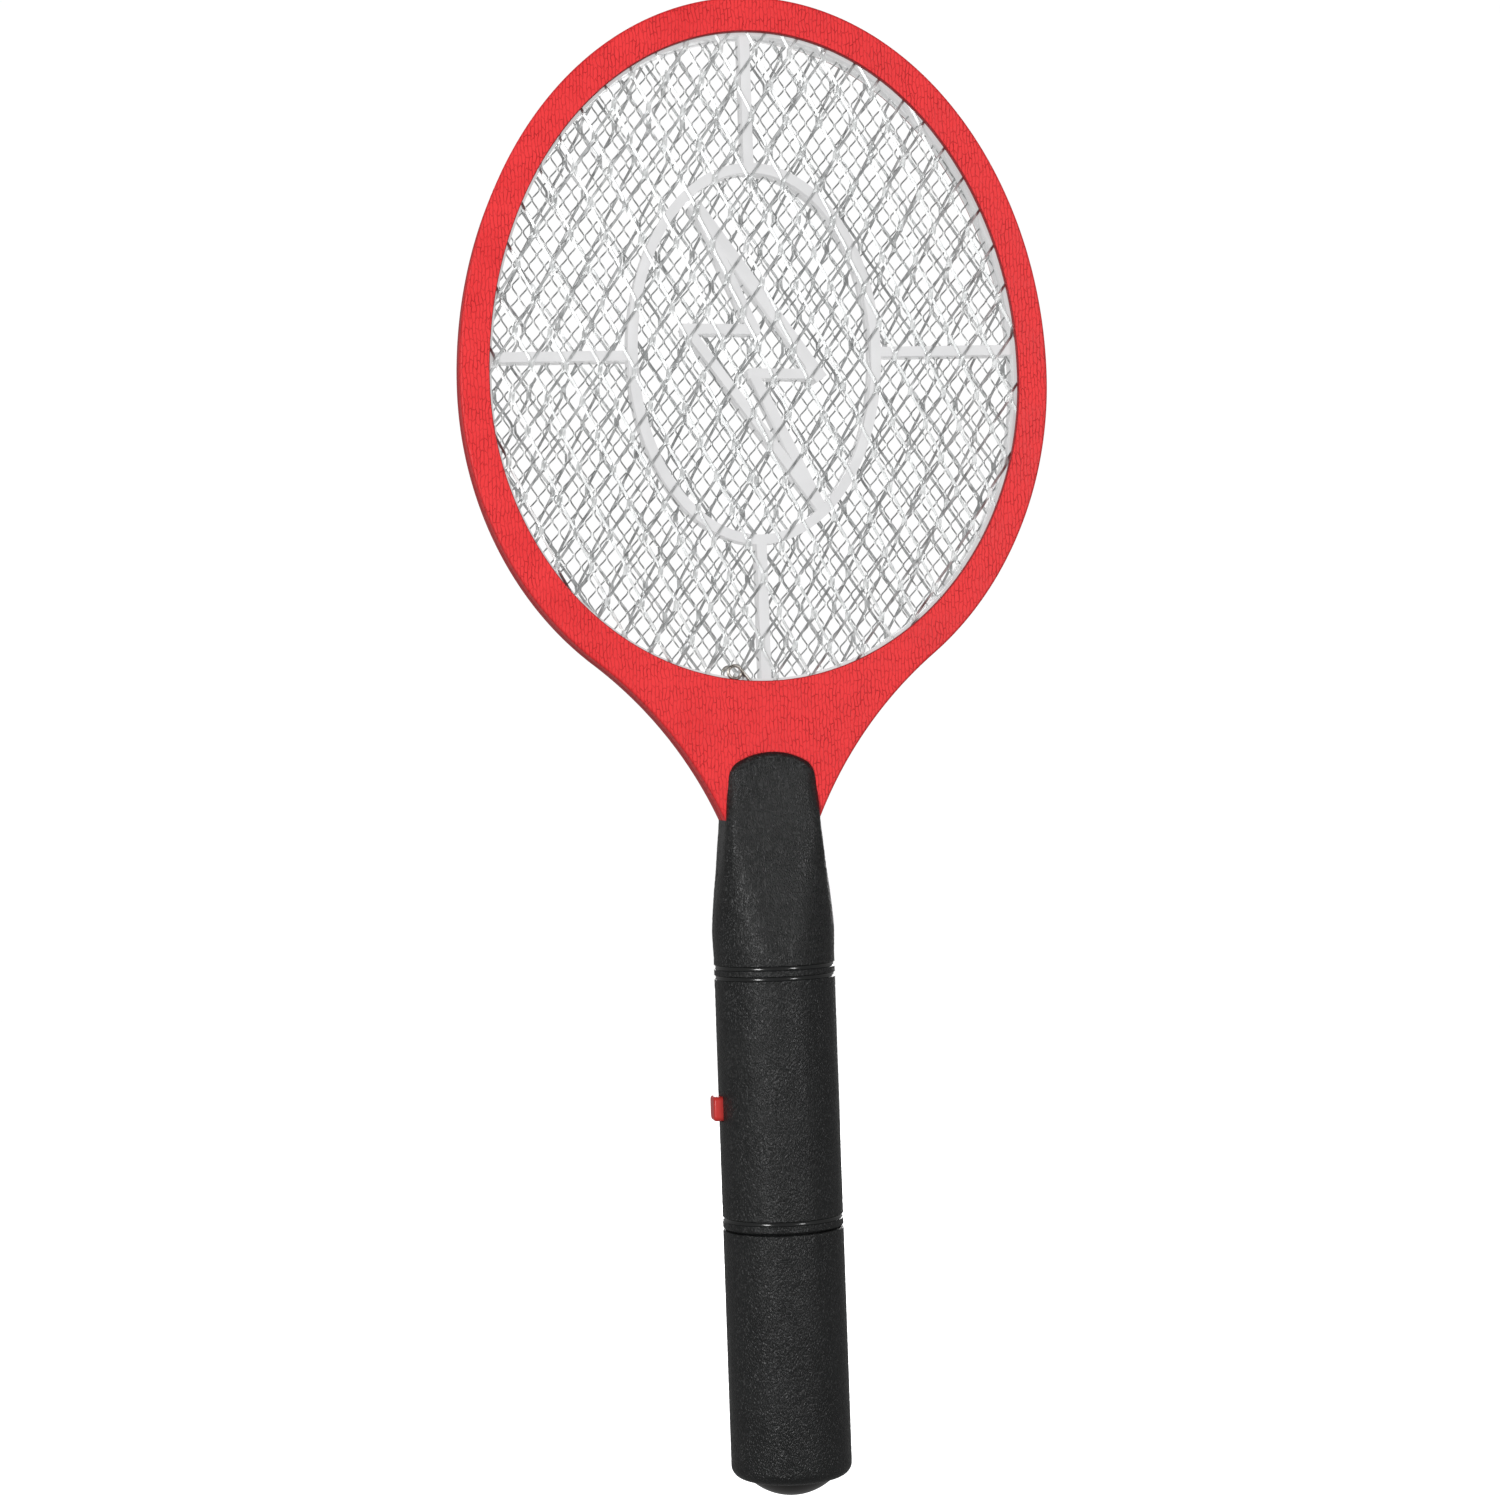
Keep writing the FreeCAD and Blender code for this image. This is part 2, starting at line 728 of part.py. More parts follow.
def make_handle_front(outer, hollow):
    """Front shell with the posts that the screws bite into."""
    front = Vector(0, 1, 0)
    posts = [cylinder("Sizes.post_radius", "25", ("0", "-25.1", height), front)
             for height in POST_HEIGHTS]
    pilots = [cylinder("Sizes.screw_radius + Sizes.pilot_play", "9", ("0", "-9", height), front)
              for height in POST_HEIGHTS]
    solid = common(cut(outer, cut(hollow, fuse(*posts))), half_space(False))
    grooves = [ring_groove(size(name)) for name in ("groove_upper", "groove_upper_pair", "groove_lower")]
    return node("handle_front", cut(solid, fuse(*pilots, *grooves, button_window(), seam_round())))


def make_handle_rear(outer, hollow):
    """Rear shell: screw wells behind the posts and two short posts for the board."""
    back = Vector(0, 1, 0)
    posts = [cylinder("Sizes.post_radius + 1", "30", ("0", "0.1", height), back)
             for height in POST_HEIGHTS]
    shanks = [cylinder("Sizes.screw_radius + 0.15", "40", ("0", "-1", height), back)
              for height in POST_HEIGHTS]
    wells = [cylinder("Sizes.recess_radius", "30", ("0", "Sizes.screw_grip", height), back)
             for height in POST_HEIGHTS]
    board_posts = [cylinder("Sizes.board_post_radius", "20",
                            (x, "Sizes.board_face + Sizes.board_thick", z), back)
                   for x, z in BOARD_POSTS]
    board_pilots = [cylinder("Sizes.board_screw_radius + 0.05", "Sizes.board_screw_length + 0.3",
                             (x, "Sizes.board_face", z), back)
                    for x, z in BOARD_POSTS]
    slimmed = cut(fuse(*posts), tang_clearance())
    solid = common(cut(outer, cut(hollow, fuse(slimmed, *board_posts))), half_space(True))
    grooves = [ring_groove(size(name)) for name in ("groove_upper", "groove_upper_pair", "groove_lower")]
    tools = fuse(*shanks, *wells, *board_pilots, *grooves, button_window(), seam_round())
    return node("handle_rear", cut(solid, tools))


def tang_clearance():
    """Keeps the rear post at the tang as slim as the front one."""
    outer = cylinder("10", "2 * Sizes.frame_half_depth", ("0", "-Sizes.frame_half_depth - 0.1",
                                                         "Sizes.post_high"), Vector(0, 1, 0))
    inner = cylinder("Sizes.post_radius", "40", ("0", "-20", "Sizes.post_high"), Vector(0, 1, 0))
    return cut(outer, inner)


def make_handle_screws():
    """Three pan-head self-tapping screws with a cross recess, driven from the rear."""
    screws = []
    for height in POST_HEIGHTS:
        shank = cylinder("Sizes.screw_radius", "Sizes.screw_grip + 9", ("0", "-8.5", height), Vector(0, 1, 0))
        head = cylinder("Sizes.screw_head_radius", "Sizes.screw_head_thick",
                        ("0", "Sizes.screw_grip + 0.02", height), Vector(0, 1, 0))
        slots = [box("3", "1", "0.7", ("-1.5", "Sizes.screw_grip + 1", height + " - 0.35")),
                 box("0.7", "1", "3", ("-0.35", "Sizes.screw_grip + 1", height + " - 1.5"))]
        screws.append(cut(fuse(shank, head), fuse(*slots)))
    return node("handle_screws", group(*screws))


# ---------------------------------------------------------------- push button and switch

def rounded_bar(length, depth, radius):
    """Rounded rectangle in the YZ plane, as sketch curves about the button's height."""
    y = depth / 2
    z = length / 2
    centre = size("button_height")
    curves = []
    corners = [(y - radius, z - radius, 0), (-y + radius, z - radius, 90),
               (-y + radius, -z + radius, 180), (y - radius, -z + radius, 270)]
    ends = []
    for corner_y, corner_z, angle in corners:
        middle = Vector(corner_y, centre + corner_z)
        arc = Part.ArcOfCircle(Part.Circle(middle, Vector(0, 0, 1), radius),
                               math.radians(angle), math.radians(angle + 90))
        curves.append(arc)
        ends.append((arc.StartPoint, arc.EndPoint))
    for (_, end), (start, _) in zip(ends, ends[1:] + ends[:1]):
        curves.append(line(end, start))
    return curves


def make_push_button():
    """Cap with a retaining flange inside the wall and a peg that meets the switch."""
    body = new_body("push_button")
    outside = "-Sizes.grip_radius - Sizes.button_proud"
    flange_back = "Sizes.button_flange_face + Sizes.button_flange_thick"
    cap = rounded_bar(size("button_length"), size("button_depth"), size("button_corner"))
    pad(body, "YZ_Plane", cap, "Sizes.button_flange_face + Sizes.grip_radius + Sizes.button_proud + 0.6",
        outside)
    outer_face = -size("grip_radius") - size("button_proud")
    round_edges(body, lambda edge: edge.XMax < outer_face + 1e-4, "Sizes.button_edge")
    flange = rounded_bar(size("button_flange_length"), size("button_flange_depth"), size("button_corner"))
    pad(body, "YZ_Plane", flange, "Sizes.button_flange_thick", "Sizes.button_flange_face")
    peg = circle(0, size("button_height"), size("button_peg_radius"))
    pad(body, "YZ_Plane", peg, "Sizes.button_peg_end - (" + flange_back + ") + 0.3", flange_back + " - 0.3")
    return body


def make_switch():
    """Momentary push switch: square body on the board and its plunger."""
    x_axis = Vector(1, 0, 0)
    side = "Sizes.switch_side"
    case = box(side, side, side, ("Sizes.switch_left", "Sizes.board_face - " + side,
                                  "Sizes.button_height - " + side + " / 2"))
    bore = cylinder("Sizes.plunger_radius + Sizes.plunger_play", "Sizes.switch_bore_depth",
                    ("Sizes.switch_left - 0.001", "0", "Sizes.button_height"), x_axis)
    node("push_switch", cut(case, bore))
    node("switch_plunger", cylinder("Sizes.plunger_radius", "Sizes.plunger_end - Sizes.plunger_tip",
                                    ("Sizes.plunger_tip", "0", "Sizes.button_height"), x_axis))


# ---------------------------------------------------------------- electronics

def make_board():
    """Circuit board with two screw holes, held to posts of the rear shell."""
    y_axis = Vector(0, 1, 0)
    plate = box("Sizes.board_right - Sizes.board_left", "Sizes.board_thick",
                "Sizes.board_top - Sizes.board_bottom",
                ("Sizes.board_left", "Sizes.board_face", "Sizes.board_bottom"))
    holes = [cylinder("Sizes.board_hole_radius", "10", (x, "0", z), y_axis) for x, z in BOARD_POSTS]
    node("circuit_board", cut(plate, fuse(*holes)))
    screws = []
    for x, z in BOARD_POSTS:
        shank = cylinder("Sizes.board_screw_radius", "Sizes.board_screw_length",
                         (x, "Sizes.board_face - 0.1", z), y_axis)
        head = cylinder("Sizes.board_screw_head_radius", "Sizes.board_screw_head_thick",
                        (x, "Sizes.board_face - 0.02 - Sizes.board_screw_head_thick", z), y_axis)
        screws.append(fuse(shank, head))
    node("board_screws", group(*screws))


def block(corner, extent):
    """Part::Box from numbers, for small components that are placed on the board."""
    names = [str(number) for number in extent]
    return box(*names, [str(number) for number in corner])


def on_board(x, z, wide, deep, high):
    """Block that stands on the front of the board, deep towards the front."""
    return box(str(wide), str(deep), str(high),
               (str(x), "Sizes.board_face - 0.02 - " + str(deep), str(z)))


def make_transformer():
    """Ferrite core with a window each side of its middle leg, and the winding on its bobbin."""
    x, y, z = 2.0, -3.5, 144.0
    core = box("13", "5.6", "12", (str(x - 6.5), str(y - 2.8), str(z - 6)))
    windows = [box("3.5", "8", "8.4", (str(x + shift), str(y - 4), str(z - 4.2))) for shift in (-5.1, 1.6)]
    node("transformer_core", cut(core, fuse(*windows)))
    winding = box("9.8", "9.4", "6.4", (str(x - 4.9), str(y - 4.7), str(z - 3.2)))
    flanges = [on_board(x - 5.0, low, 10.0, 11.4, 0.7) for low in (z - 3.9, z + 3.2)]
    leg = box("3.4", "5.8", "9", (str(x - 1.7), str(y - 2.9), str(z - 4.5)))
    node("transformer_winding", cut(fuse(winding, *flanges), leg))


def make_capacitors():
    node("storage_capacitor", on_board(-6.5, 120.0, 15.0, 7.5, 15.5))
    small = [on_board(x, 104.5, 4.6, 6.0, 6.0) for x in (-8.8, -3.6)]
    node("doubler_capacitors", group(*small))


def axial_part(x, low, body_length, body_radius, lead_radius=0.3, lead_length=2.4):
    """Cylindrical component that lies along Z just clear of the board."""
    depth = str(size("board_face") - body_radius - 0.1)
    barrel = cylinder(str(body_radius), str(body_length), (str(x), depth, str(low)))
    wire = cylinder(str(lead_radius), str(body_length + 2 * lead_length),
                    (str(x), depth, str(low - lead_length)))
    return fuse(barrel, wire)


def make_small_parts():
    node("diodes", group(*[axial_part(x, 128.0, 5.0, 1.2) for x in (9.9, 12.4)]))
    node("resistors", group(*[axial_part(x, 106.6, 4.2, 1.0, 0.25, 1.6) for x in (3.2, 5.8)]))
    case = on_board(2.6, 113.2, 4.6, 3.6, 4.4)
    node("transistor", case)


def make_leads():
    """Insulated leads, whole, clear of the screw posts."""
    radius = size("lead_radius")
    bend = size("lead_bend")
    edge = size("board_bottom") - 0.3
    crown = size("board_top") + 0.3
    behind = size("board_face") + 0.8
    routes = {
        "battery_lead_positive": [Vector(-7.6, 6.0, 82.6), Vector(-7.6, 6.0, 92.0),
                                  Vector(-5.4, behind, edge)],
        "battery_lead_negative": [Vector(7.6, 6.0, 82.6), Vector(7.6, 6.0, 92.0),
                                  Vector(5.4, behind, edge)],
        "front_grid_lead": [Vector(-5.0, behind, crown), Vector(-6.3, 1.0, 172.0),
                            Vector(-6.3, -2.0, 196.0), Vector(-5.0, -3.0, 212.0),
                            Vector(-4.2, -4.2, 225.0)],
        "rear_grid_lead": [Vector(3.2, behind, crown), Vector(5.4, 3.6, 170.0),
                           Vector(5.2, 3.9, 196.0), Vector(-1.5, 3.8, 212.0),
                           Vector(-2.8, 4.2, 225.0)],
        "middle_grid_lead": [Vector(7.0, behind, crown), Vector(6.3, 2.0, 172.0),
                             Vector(6.3, 0.0, 196.0), Vector(3.6, -0.2, 212.0),
                             Vector(1.2, 0.0, 228.6)],
    }
    for label, points in routes.items():
        path = bent_path(points, bend)
        node(label, feature(tube(path, radius)))


# ---------------------------------------------------------------- battery compartment

def make_cradle():
    """Cell holder: collar clamped by the shells, bulkhead, open trough, floor and a middle rib."""
    body = new_body("battery_cradle")
    radius = size("cradle_radius")
    pad(body, "XY_Plane", circle(0, 0, radius), "Sizes.bulkhead_thick", "Sizes.bulkhead_bottom")
    collar = circle(0, 0, radius) + circle(0, 0, radius - size("collar_wall"))
    pad(body, "XY_Plane", collar, "Sizes.collar_top - Sizes.bulkhead_bottom", "Sizes.bulkhead_bottom")
    flange = circle(0, 0, size("flange_radius")) + circle(0, 0, radius - 1)
    pad(body, "XY_Plane", flange, "Sizes.flange_top - Sizes.flange_bottom", "Sizes.flange_bottom")
    trough_inner = radius - size("cradle_wall")
    half_ring = [Part.ArcOfCircle(Part.Circle(Vector(), Vector(0, 0, 1), reach), 0, math.pi)
                 for reach in (radius, trough_inner)]
    ends = [line(Vector(side * trough_inner, 0), Vector(side * radius, 0)) for side in (1, -1)]
    pad(body, "XY_Plane", half_ring + ends, "Sizes.bulkhead_bottom - Sizes.cradle_bottom + 0.5",
        "Sizes.cradle_bottom")
    pad(body, "XY_Plane", circle(0, 0, radius), "Sizes.cradle_floor", "Sizes.cradle_bottom")
    rib = rectangle(-0.6, size("contact_side") / 2 + 0.2, 0.6, trough_inner + 0.4)
    pad(body, "XY_Plane", rib, "Sizes.bulkhead_bottom - Sizes.cradle_bottom", "Sizes.cradle_bottom + 0.5")
    for side in (-1, 1):
        slot = rectangle(side * size("cell_offset") - size("tag_width") / 2 - 0.2, 5.6,
                         side * size("cell_offset") + size("tag_width") / 2 + 0.2, 6.4)
        pocket(body, "XY_Plane", slot, "Sizes.bulkhead_thick + 2", "Sizes.bulkhead_bottom - 1",
               backwards=True)
    return body


def cell_profile():
    """Half section of a cell, as (radius, distance from the flat end)."""
    radius = size("cell_radius")
    length = size("cell_length")
    nub = size("cell_nub_radius")
    shoulder = length - size("cell_nub_length")
    points = [(0, 0), (radius - 1.4, 0), (radius - 0.8, 0.35), (radius - 0.35, 0.35), (radius, 0.7),
              (radius, shoulder - 0.9), (radius - 0.5, shoulder - 0.4), (nub + 1.4, shoulder - 0.4),
              (nub + 1.2, shoulder), (nub, shoulder), (nub, length - 0.4), (nub - 0.4, length), (0, length)]
    return points


def make_cell(label, x, flat_end, direction):
    """AA cell; direction is +1 when its nub points up."""
    body = new_body(label)
    points = [Vector(radius, direction * along) for radius, along in cell_profile()]
    curves = closed_lines(points)
    sketch = new_sketch(body, "XZ_Plane", curves)
    turned = body.newObject("PartDesign::Revolution", "Turned")
    turned.Profile = sketch
    turned.ReferenceAxis = (sketch, ["V_Axis"])
    turned.Angle = 360
    doc.recompute()
    body.Placement = Placement(Vector(x, 0, flat_end), Rotation())
    return body


def coil(x, low, high, wide_low):
    """Compression spring with a tapering coil between two heights."""
    wire = size("spring_wire")
    turns = size("spring_turns")
    steps = int(turns * 16)
    points = []
    for index in range(steps + 1):
        share = index / steps
        angle = 2 * math.pi * turns * share
        taper = share if wide_low else 1 - share
        radius = size("spring_radius") * (1 - 0.35 * taper)
        height = low + wire + (high - low - 2 * wire) * share
        points.append(Vector(x + radius * math.cos(angle), radius * math.sin(angle), height))
    curve = Part.BSplineCurve()
    curve.interpolate(points)
    path = Part.Wire(curve.toShape())
    return feature(tube(path, wire))


def make_battery_contacts():
    """Plates and springs at both ends of the cells."""
    thick = size("contact_thick")
    side = size("contact_side")
    gap = size("contact_gap")
    offset = size("cell_offset")
    ceiling = size("bulkhead_bottom") - gap
    floor = size("cradle_bottom") + size("cradle_floor") + gap

    def plate(x, low, wide):
        return block((x - wide / 2, -side / 2, low), (wide, side, thick))

    def tag(x):
        tall = size("tag_top") - ceiling + thick
        strip = block((x - size("tag_width") / 2, 5.8, ceiling - thick), (size("tag_width"), 0.4, tall))
        foot = block((x - size("tag_width") / 2, 4.4, ceiling - thick), (size("tag_width"), 1.6, thick))
        return fuse(strip, foot)

    positive_low = ceiling - thick
    node("positive_contact", fuse(plate(-offset, positive_low, side), tag(-offset)))
    node("negative_contact", fuse(plate(offset, positive_low, side), tag(offset)))
    node("jumper_contact", plate(0.0, floor, 2 * offset + side))
    cell_top = positive_low - gap
    flat_end_left = cell_top - size("cell_length")
    cell_bottom = floor + thick + gap
    flat_end_right = cell_bottom + size("cell_length")
    make_cell("battery_cell_left", -offset, flat_end_left, 1)
    make_cell("battery_cell_right", offset, flat_end_right, -1)
    node("negative_spring", coil(offset, flat_end_right + gap, positive_low - gap, False))
    node("jumper_spring", coil(-offset, floor + thick + gap, flat_end_left - gap, True))


def revolved_body(label, points):
    """Body turned from a closed outline of (radius, height) points."""
    body = new_body(label)
    sketch = new_sketch(body, "XZ_Plane", closed_lines([Vector(*point) for point in points]))
    turned = body.newObject("PartDesign::Revolution", "Turned")
    turned.Profile = sketch
    turned.ReferenceAxis = (sketch, ["V_Axis"])
    turned.Angle = 360
    doc.recompute()
    return body


def make_sleeve():
    """Cover that slides over the cells and closes against the handle at the lower groove."""
    top = size("sleeve_seam") - size("seam_half_gap")
    outer = size("grip_radius")
    bore = size("sleeve_bore")
    bottom = size("sleeve_bottom")
    floor = bottom + size("sleeve_floor")
    points = [(size("cap_hole_radius"), bottom), (outer, bottom), (outer, top), (bore, top),
              (bore, floor), (size("cap_hole_radius"), floor)]
    body = revolved_body("battery_sleeve", points)
    for height, radius in ((bottom, "sleeve_edge_round"), (top, "seam_round")):
        round_edges(body, lambda edge: abs(edge.ZMin - height) < 1e-4 and edge.ZLength < 1e-4
                    and abs(edge.XMax - outer) < 0.01, "Sizes." + radius)
    return body


def make_end_cap():
    """Domed plug pressed into the hole in the sleeve's floor."""
    body = new_body("end_cap")
    rim = size("cap_radius")
    seat = size("sleeve_bottom") - 0.02
    stem = size("cap_stem_radius")
    top = size("cap_stem_top")
    bead = size("cap_bead_radius")
    bead_low = size("cap_bead_bottom")
    dome_radius = (rim * rim + seat * seat) / (2 * seat)
    lean = math.asin(rim / dome_radius) / 2
    middle = Vector(dome_radius * math.sin(lean), dome_radius * (1 - math.cos(lean)))
    corners = [Vector(rim, seat), Vector(stem, seat), Vector(stem, bead_low), Vector(bead, bead_low + 0.3),
               Vector(stem, bead_low + 0.9), Vector(stem, top), Vector(stem - 1.5, top),
               Vector(stem - 1.5, seat), Vector(0, seat), Vector(0, 0)]
    curves = [Part.Arc(Vector(0, 0), middle, Vector(rim, seat))]
    curves += [line(start, end) for start, end in zip(corners, corners[1:])]
    sketch = new_sketch(body, "XZ_Plane", curves)
    turned = body.newObject("PartDesign::Revolution", "Turned")
    turned.Profile = sketch
    turned.ReferenceAxis = (sketch, ["V_Axis"])
    turned.Angle = 360
    doc.recompute()
    return body


# ---------------------------------------------------------------- build and write

def build():
    make_frame("frame_front", False)
    make_frame("frame_rear", True)
    make_spacer("front_spacer", False)
    make_spacer("rear_spacer", True)
    make_grids()
    make_grid_contact("front_grid_contact", -1)
    make_grid_contact("rear_grid_contact", 1)
    outer = handle_outer()
    hollow = handle_hollow()
    make_handle_front(outer, hollow)
    make_handle_rear(outer, hollow)
    make_handle_screws()
    make_push_button()
    make_switch()
    make_board()
    make_transformer()
    make_capacitors()
    make_small_parts()
    make_leads()
    make_cradle()
    make_battery_contacts()
    make_sleeve()
    make_end_cap()
    doc.recompute()


def check():
    """Stop on any failed object or bad shape."""
    for thing in doc.Objects:
        if "Invalid" in thing.State or "Error" in thing.State:
            raise RuntimeError("%s (%s) is in state %s" % (thing.Label, thing.Name, thing.State))
    for label, thing in NODES.items():
        shape = thing.Shape
        if shape.isNull() or not shape.isValid() or not shape.Solids:
            raise RuntimeError("bad shape in " + label)


def write():
    os.makedirs("parts", exist_ok=True)
    for label, thing in NODES.items():
        thing.Shape.exportStep("parts/" + label + ".step")
        print("%-24s solids %d volume %.1f" % (label, len(thing.Shape.Solids), thing.Shape.Volume))


build()
check()
write()
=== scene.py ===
"""Looks of the electric fly swatter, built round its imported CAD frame. Lengths are in metres."""
import json
import math

import bmesh
import bpy
import numpy as np
from mathutils import Matrix, Vector


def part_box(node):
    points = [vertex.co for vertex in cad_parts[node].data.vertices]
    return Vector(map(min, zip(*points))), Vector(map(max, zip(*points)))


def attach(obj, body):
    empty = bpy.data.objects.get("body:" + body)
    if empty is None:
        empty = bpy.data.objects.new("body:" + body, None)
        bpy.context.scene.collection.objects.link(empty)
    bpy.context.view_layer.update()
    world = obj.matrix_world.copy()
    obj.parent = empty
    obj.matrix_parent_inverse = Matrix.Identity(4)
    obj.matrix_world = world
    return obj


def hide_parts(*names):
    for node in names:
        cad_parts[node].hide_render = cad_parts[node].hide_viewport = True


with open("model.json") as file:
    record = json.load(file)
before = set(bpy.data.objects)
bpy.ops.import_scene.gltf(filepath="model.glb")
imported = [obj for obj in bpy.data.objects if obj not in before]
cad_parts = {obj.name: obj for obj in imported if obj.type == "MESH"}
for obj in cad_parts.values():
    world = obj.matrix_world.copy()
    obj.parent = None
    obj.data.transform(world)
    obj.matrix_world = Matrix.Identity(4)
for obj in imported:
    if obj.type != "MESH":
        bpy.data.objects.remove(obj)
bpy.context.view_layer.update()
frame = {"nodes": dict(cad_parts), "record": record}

MM = 0.001
SHARP_FROM = math.radians(40)

# ---------------------------------------------------------------- sizes

# head: a double half-ellipse about HEAD_CENTRE with an opening in it, and a neck down to NECK_ROOT
HEAD_LOW, HEAD_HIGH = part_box("frame_front")
FACE = -HEAD_LOW.y
HEAD_HALF_WIDTH = HEAD_HIGH.x
HEAD_RISE = 111.6 * MM
HEAD_DROP = 100.0 * MM
HEAD_CENTRE = HEAD_HIGH.z - HEAD_RISE
OPENING_HALF_WIDTH = 78.3 * MM
OPENING_RISE = 101.6 * MM
OPENING_DROP = 88.5 * MM
NECK_JOIN = math.radians(55)
NECK_ROOT = Vector((14.0, 199.0)) * MM
EDGE_ROUND = 0.8 * MM
LIP_ROUND = 0.3 * MM
LIP_BACK = 5.0 * MM
FRAME_WALL = 2.0 * MM
EMBOSS_DEPTH = 0.05 * MM
BARK_CELL = (1.6 * MM, 3.6 * MM)
# share of the face's colour on the walls of the front and rear halves; the rest is painted shade, more of it
# on the rear half
WALL_FACE_SHARE_FRONT = 0.75
WALL_FACE_SHARE_REAR = 0.3

# handle: round below, then (height, half width, half depth, roundness) in mm up to the top of the tongue
NECK_SECTIONS = [(158.5, 17.8, 17.8, 2.0), (162.5, 17.95, 17.6, 2.0), (167.0, 17.95, 16.7, 2.15),
                 (175.0, 17.2, 15.1, 2.5), (186.0, 15.7, 13.1, 3.6), (198.0, 14.25, 11.3, 6.2),
                 (209.0, 14.2, 10.2, 4.0), (221.0, 14.2, 9.1, 4.0)]
SHELL_WALL = 2.0 * MM
TONGUE_RADIUS = 19.7 * MM
TONGUE_ROUND = 1.25 * MM
SHOULDER_ROUND = 2.6 * MM
GROOVE_WIRE = 0.75 * MM
GROOVE_DEPTH = 0.45 * MM
GRIP_LOW, GRIP_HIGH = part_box("battery_sleeve")
GRIP_RADIUS = GRIP_HIGH.x
GRAIN_CELL = (1.3 * MM, 2.2 * MM)
GRAIN_DEPTH = 0.07 * MM
SEAM_FLASH = 0.16 * MM
GROOVES = [155.9 * MM, 152.9 * MM, 81.9 * MM]
SLEEVE_TRAVEL = max(joint["range_m"][1] for joint in frame["record"]["behaviour"]["joints"])


# ---------------------------------------------------------------- material nodes

class Nodes:
    """Small helper that adds and links the nodes of one material."""

    def __init__(self, name):
        self.material = bpy.data.materials.new(name)
        self.material.use_nodes = True
        self.tree = self.material.node_tree
        self.shader = self.tree.nodes["Principled BSDF"]
        coordinates = self.tree.nodes.new("ShaderNodeTexCoord")
        self.place = coordinates.outputs["Object"]

    def add(self, kind, inputs=None, **settings):
        item = self.tree.nodes.new("ShaderNode" + kind)
        for key, value in settings.items():
            setattr(item, key, value)
        for key, value in (inputs or {}).items():
            self.feed(item.inputs[key], value)
        return item

    def feed(self, socket, value):
        if isinstance(value, bpy.types.NodeSocket):
            self.tree.links.new(value, socket)
        else:
            socket.default_value = value

    def stretched(self, scale):
        return self.add("Mapping", {"Vector": self.place, "Scale": scale}).outputs["Vector"]

    def noise(self, scale, detail=3.0, stretch=(1, 1, 1)):
        """Noise value from 0 to 1 with about scale features a metre."""
        inputs = {"Vector": self.stretched(stretch), "Scale": scale, "Detail": detail, "Roughness": 0.55}
        return self.add("TexNoise", inputs).outputs["Fac"]

    def cells(self, scale, stretch=(1, 1, 1)):
        """Distance from the border of the nearest cell."""
        inputs = {"Vector": self.stretched(stretch), "Scale": scale}
        return self.add("TexVoronoi", inputs, feature="DISTANCE_TO_EDGE").outputs["Distance"]

    def ramp(self, value, low, high, start=0.0, end=1.0):
        """Smooth change from start to end while the value goes from low to high."""
        inputs = {"Value": value, "From Min": low, "From Max": high, "To Min": start, "To Max": end}
        return self.add("MapRange", inputs, interpolation_type="SMOOTHSTEP").outputs["Result"]

    def math(self, operation, first, second=0.0):
        item = self.add("Math", operation=operation)
        self.feed(item.inputs[0], first)
        self.feed(item.inputs[1], second)
        return item.outputs["Value"]

    def mix(self, factor, first, second):
        item = self.add("Mix", data_type="RGBA")
        self.feed(item.inputs["Factor"], factor)
        self.feed(item.inputs["A"], first)
        self.feed(item.inputs["B"], second)
        return item.outputs["Result"]

    def bump(self, height, distance):
        """Normal of a surface whose height of 1 stands for that distance."""
        inputs = {"Height": height, "Distance": distance, "Strength": 1.0}
        return self.add("Bump", inputs).outputs["Normal"]

    def finish(self, colour, roughness, normal, **sockets):
        self.feed(self.shader.inputs["Base Color"], colour)
        self.feed(self.shader.inputs["Roughness"], roughness)
        self.feed(self.shader.inputs["Normal"], normal)
        for name, value in sockets.items():
            self.shader.inputs[name.replace("_", " ")].default_value = value
        return self.material


def rgb(red, green, blue):
    return (red, green, blue, 1.0)


def moulded(name, dark, light, low=0.35, high=0.5, specular=0.5):
    """Plain moulded surface: cloudy colour, roughness from low to high and a very fine texture."""
    nodes = Nodes(name)
    cloud = nodes.noise(120.0, 4.0)
    fine = nodes.noise(900.0, 3.0)
    colour = nodes.mix(nodes.ramp(cloud, 0.3, 0.7), dark, light)
    gloss = nodes.ramp(cloud, 0.3, 0.7, low, high)
    return nodes.finish(colour, gloss, nodes.bump(fine, 0.02 * MM), Specular_IOR_Level=specular)


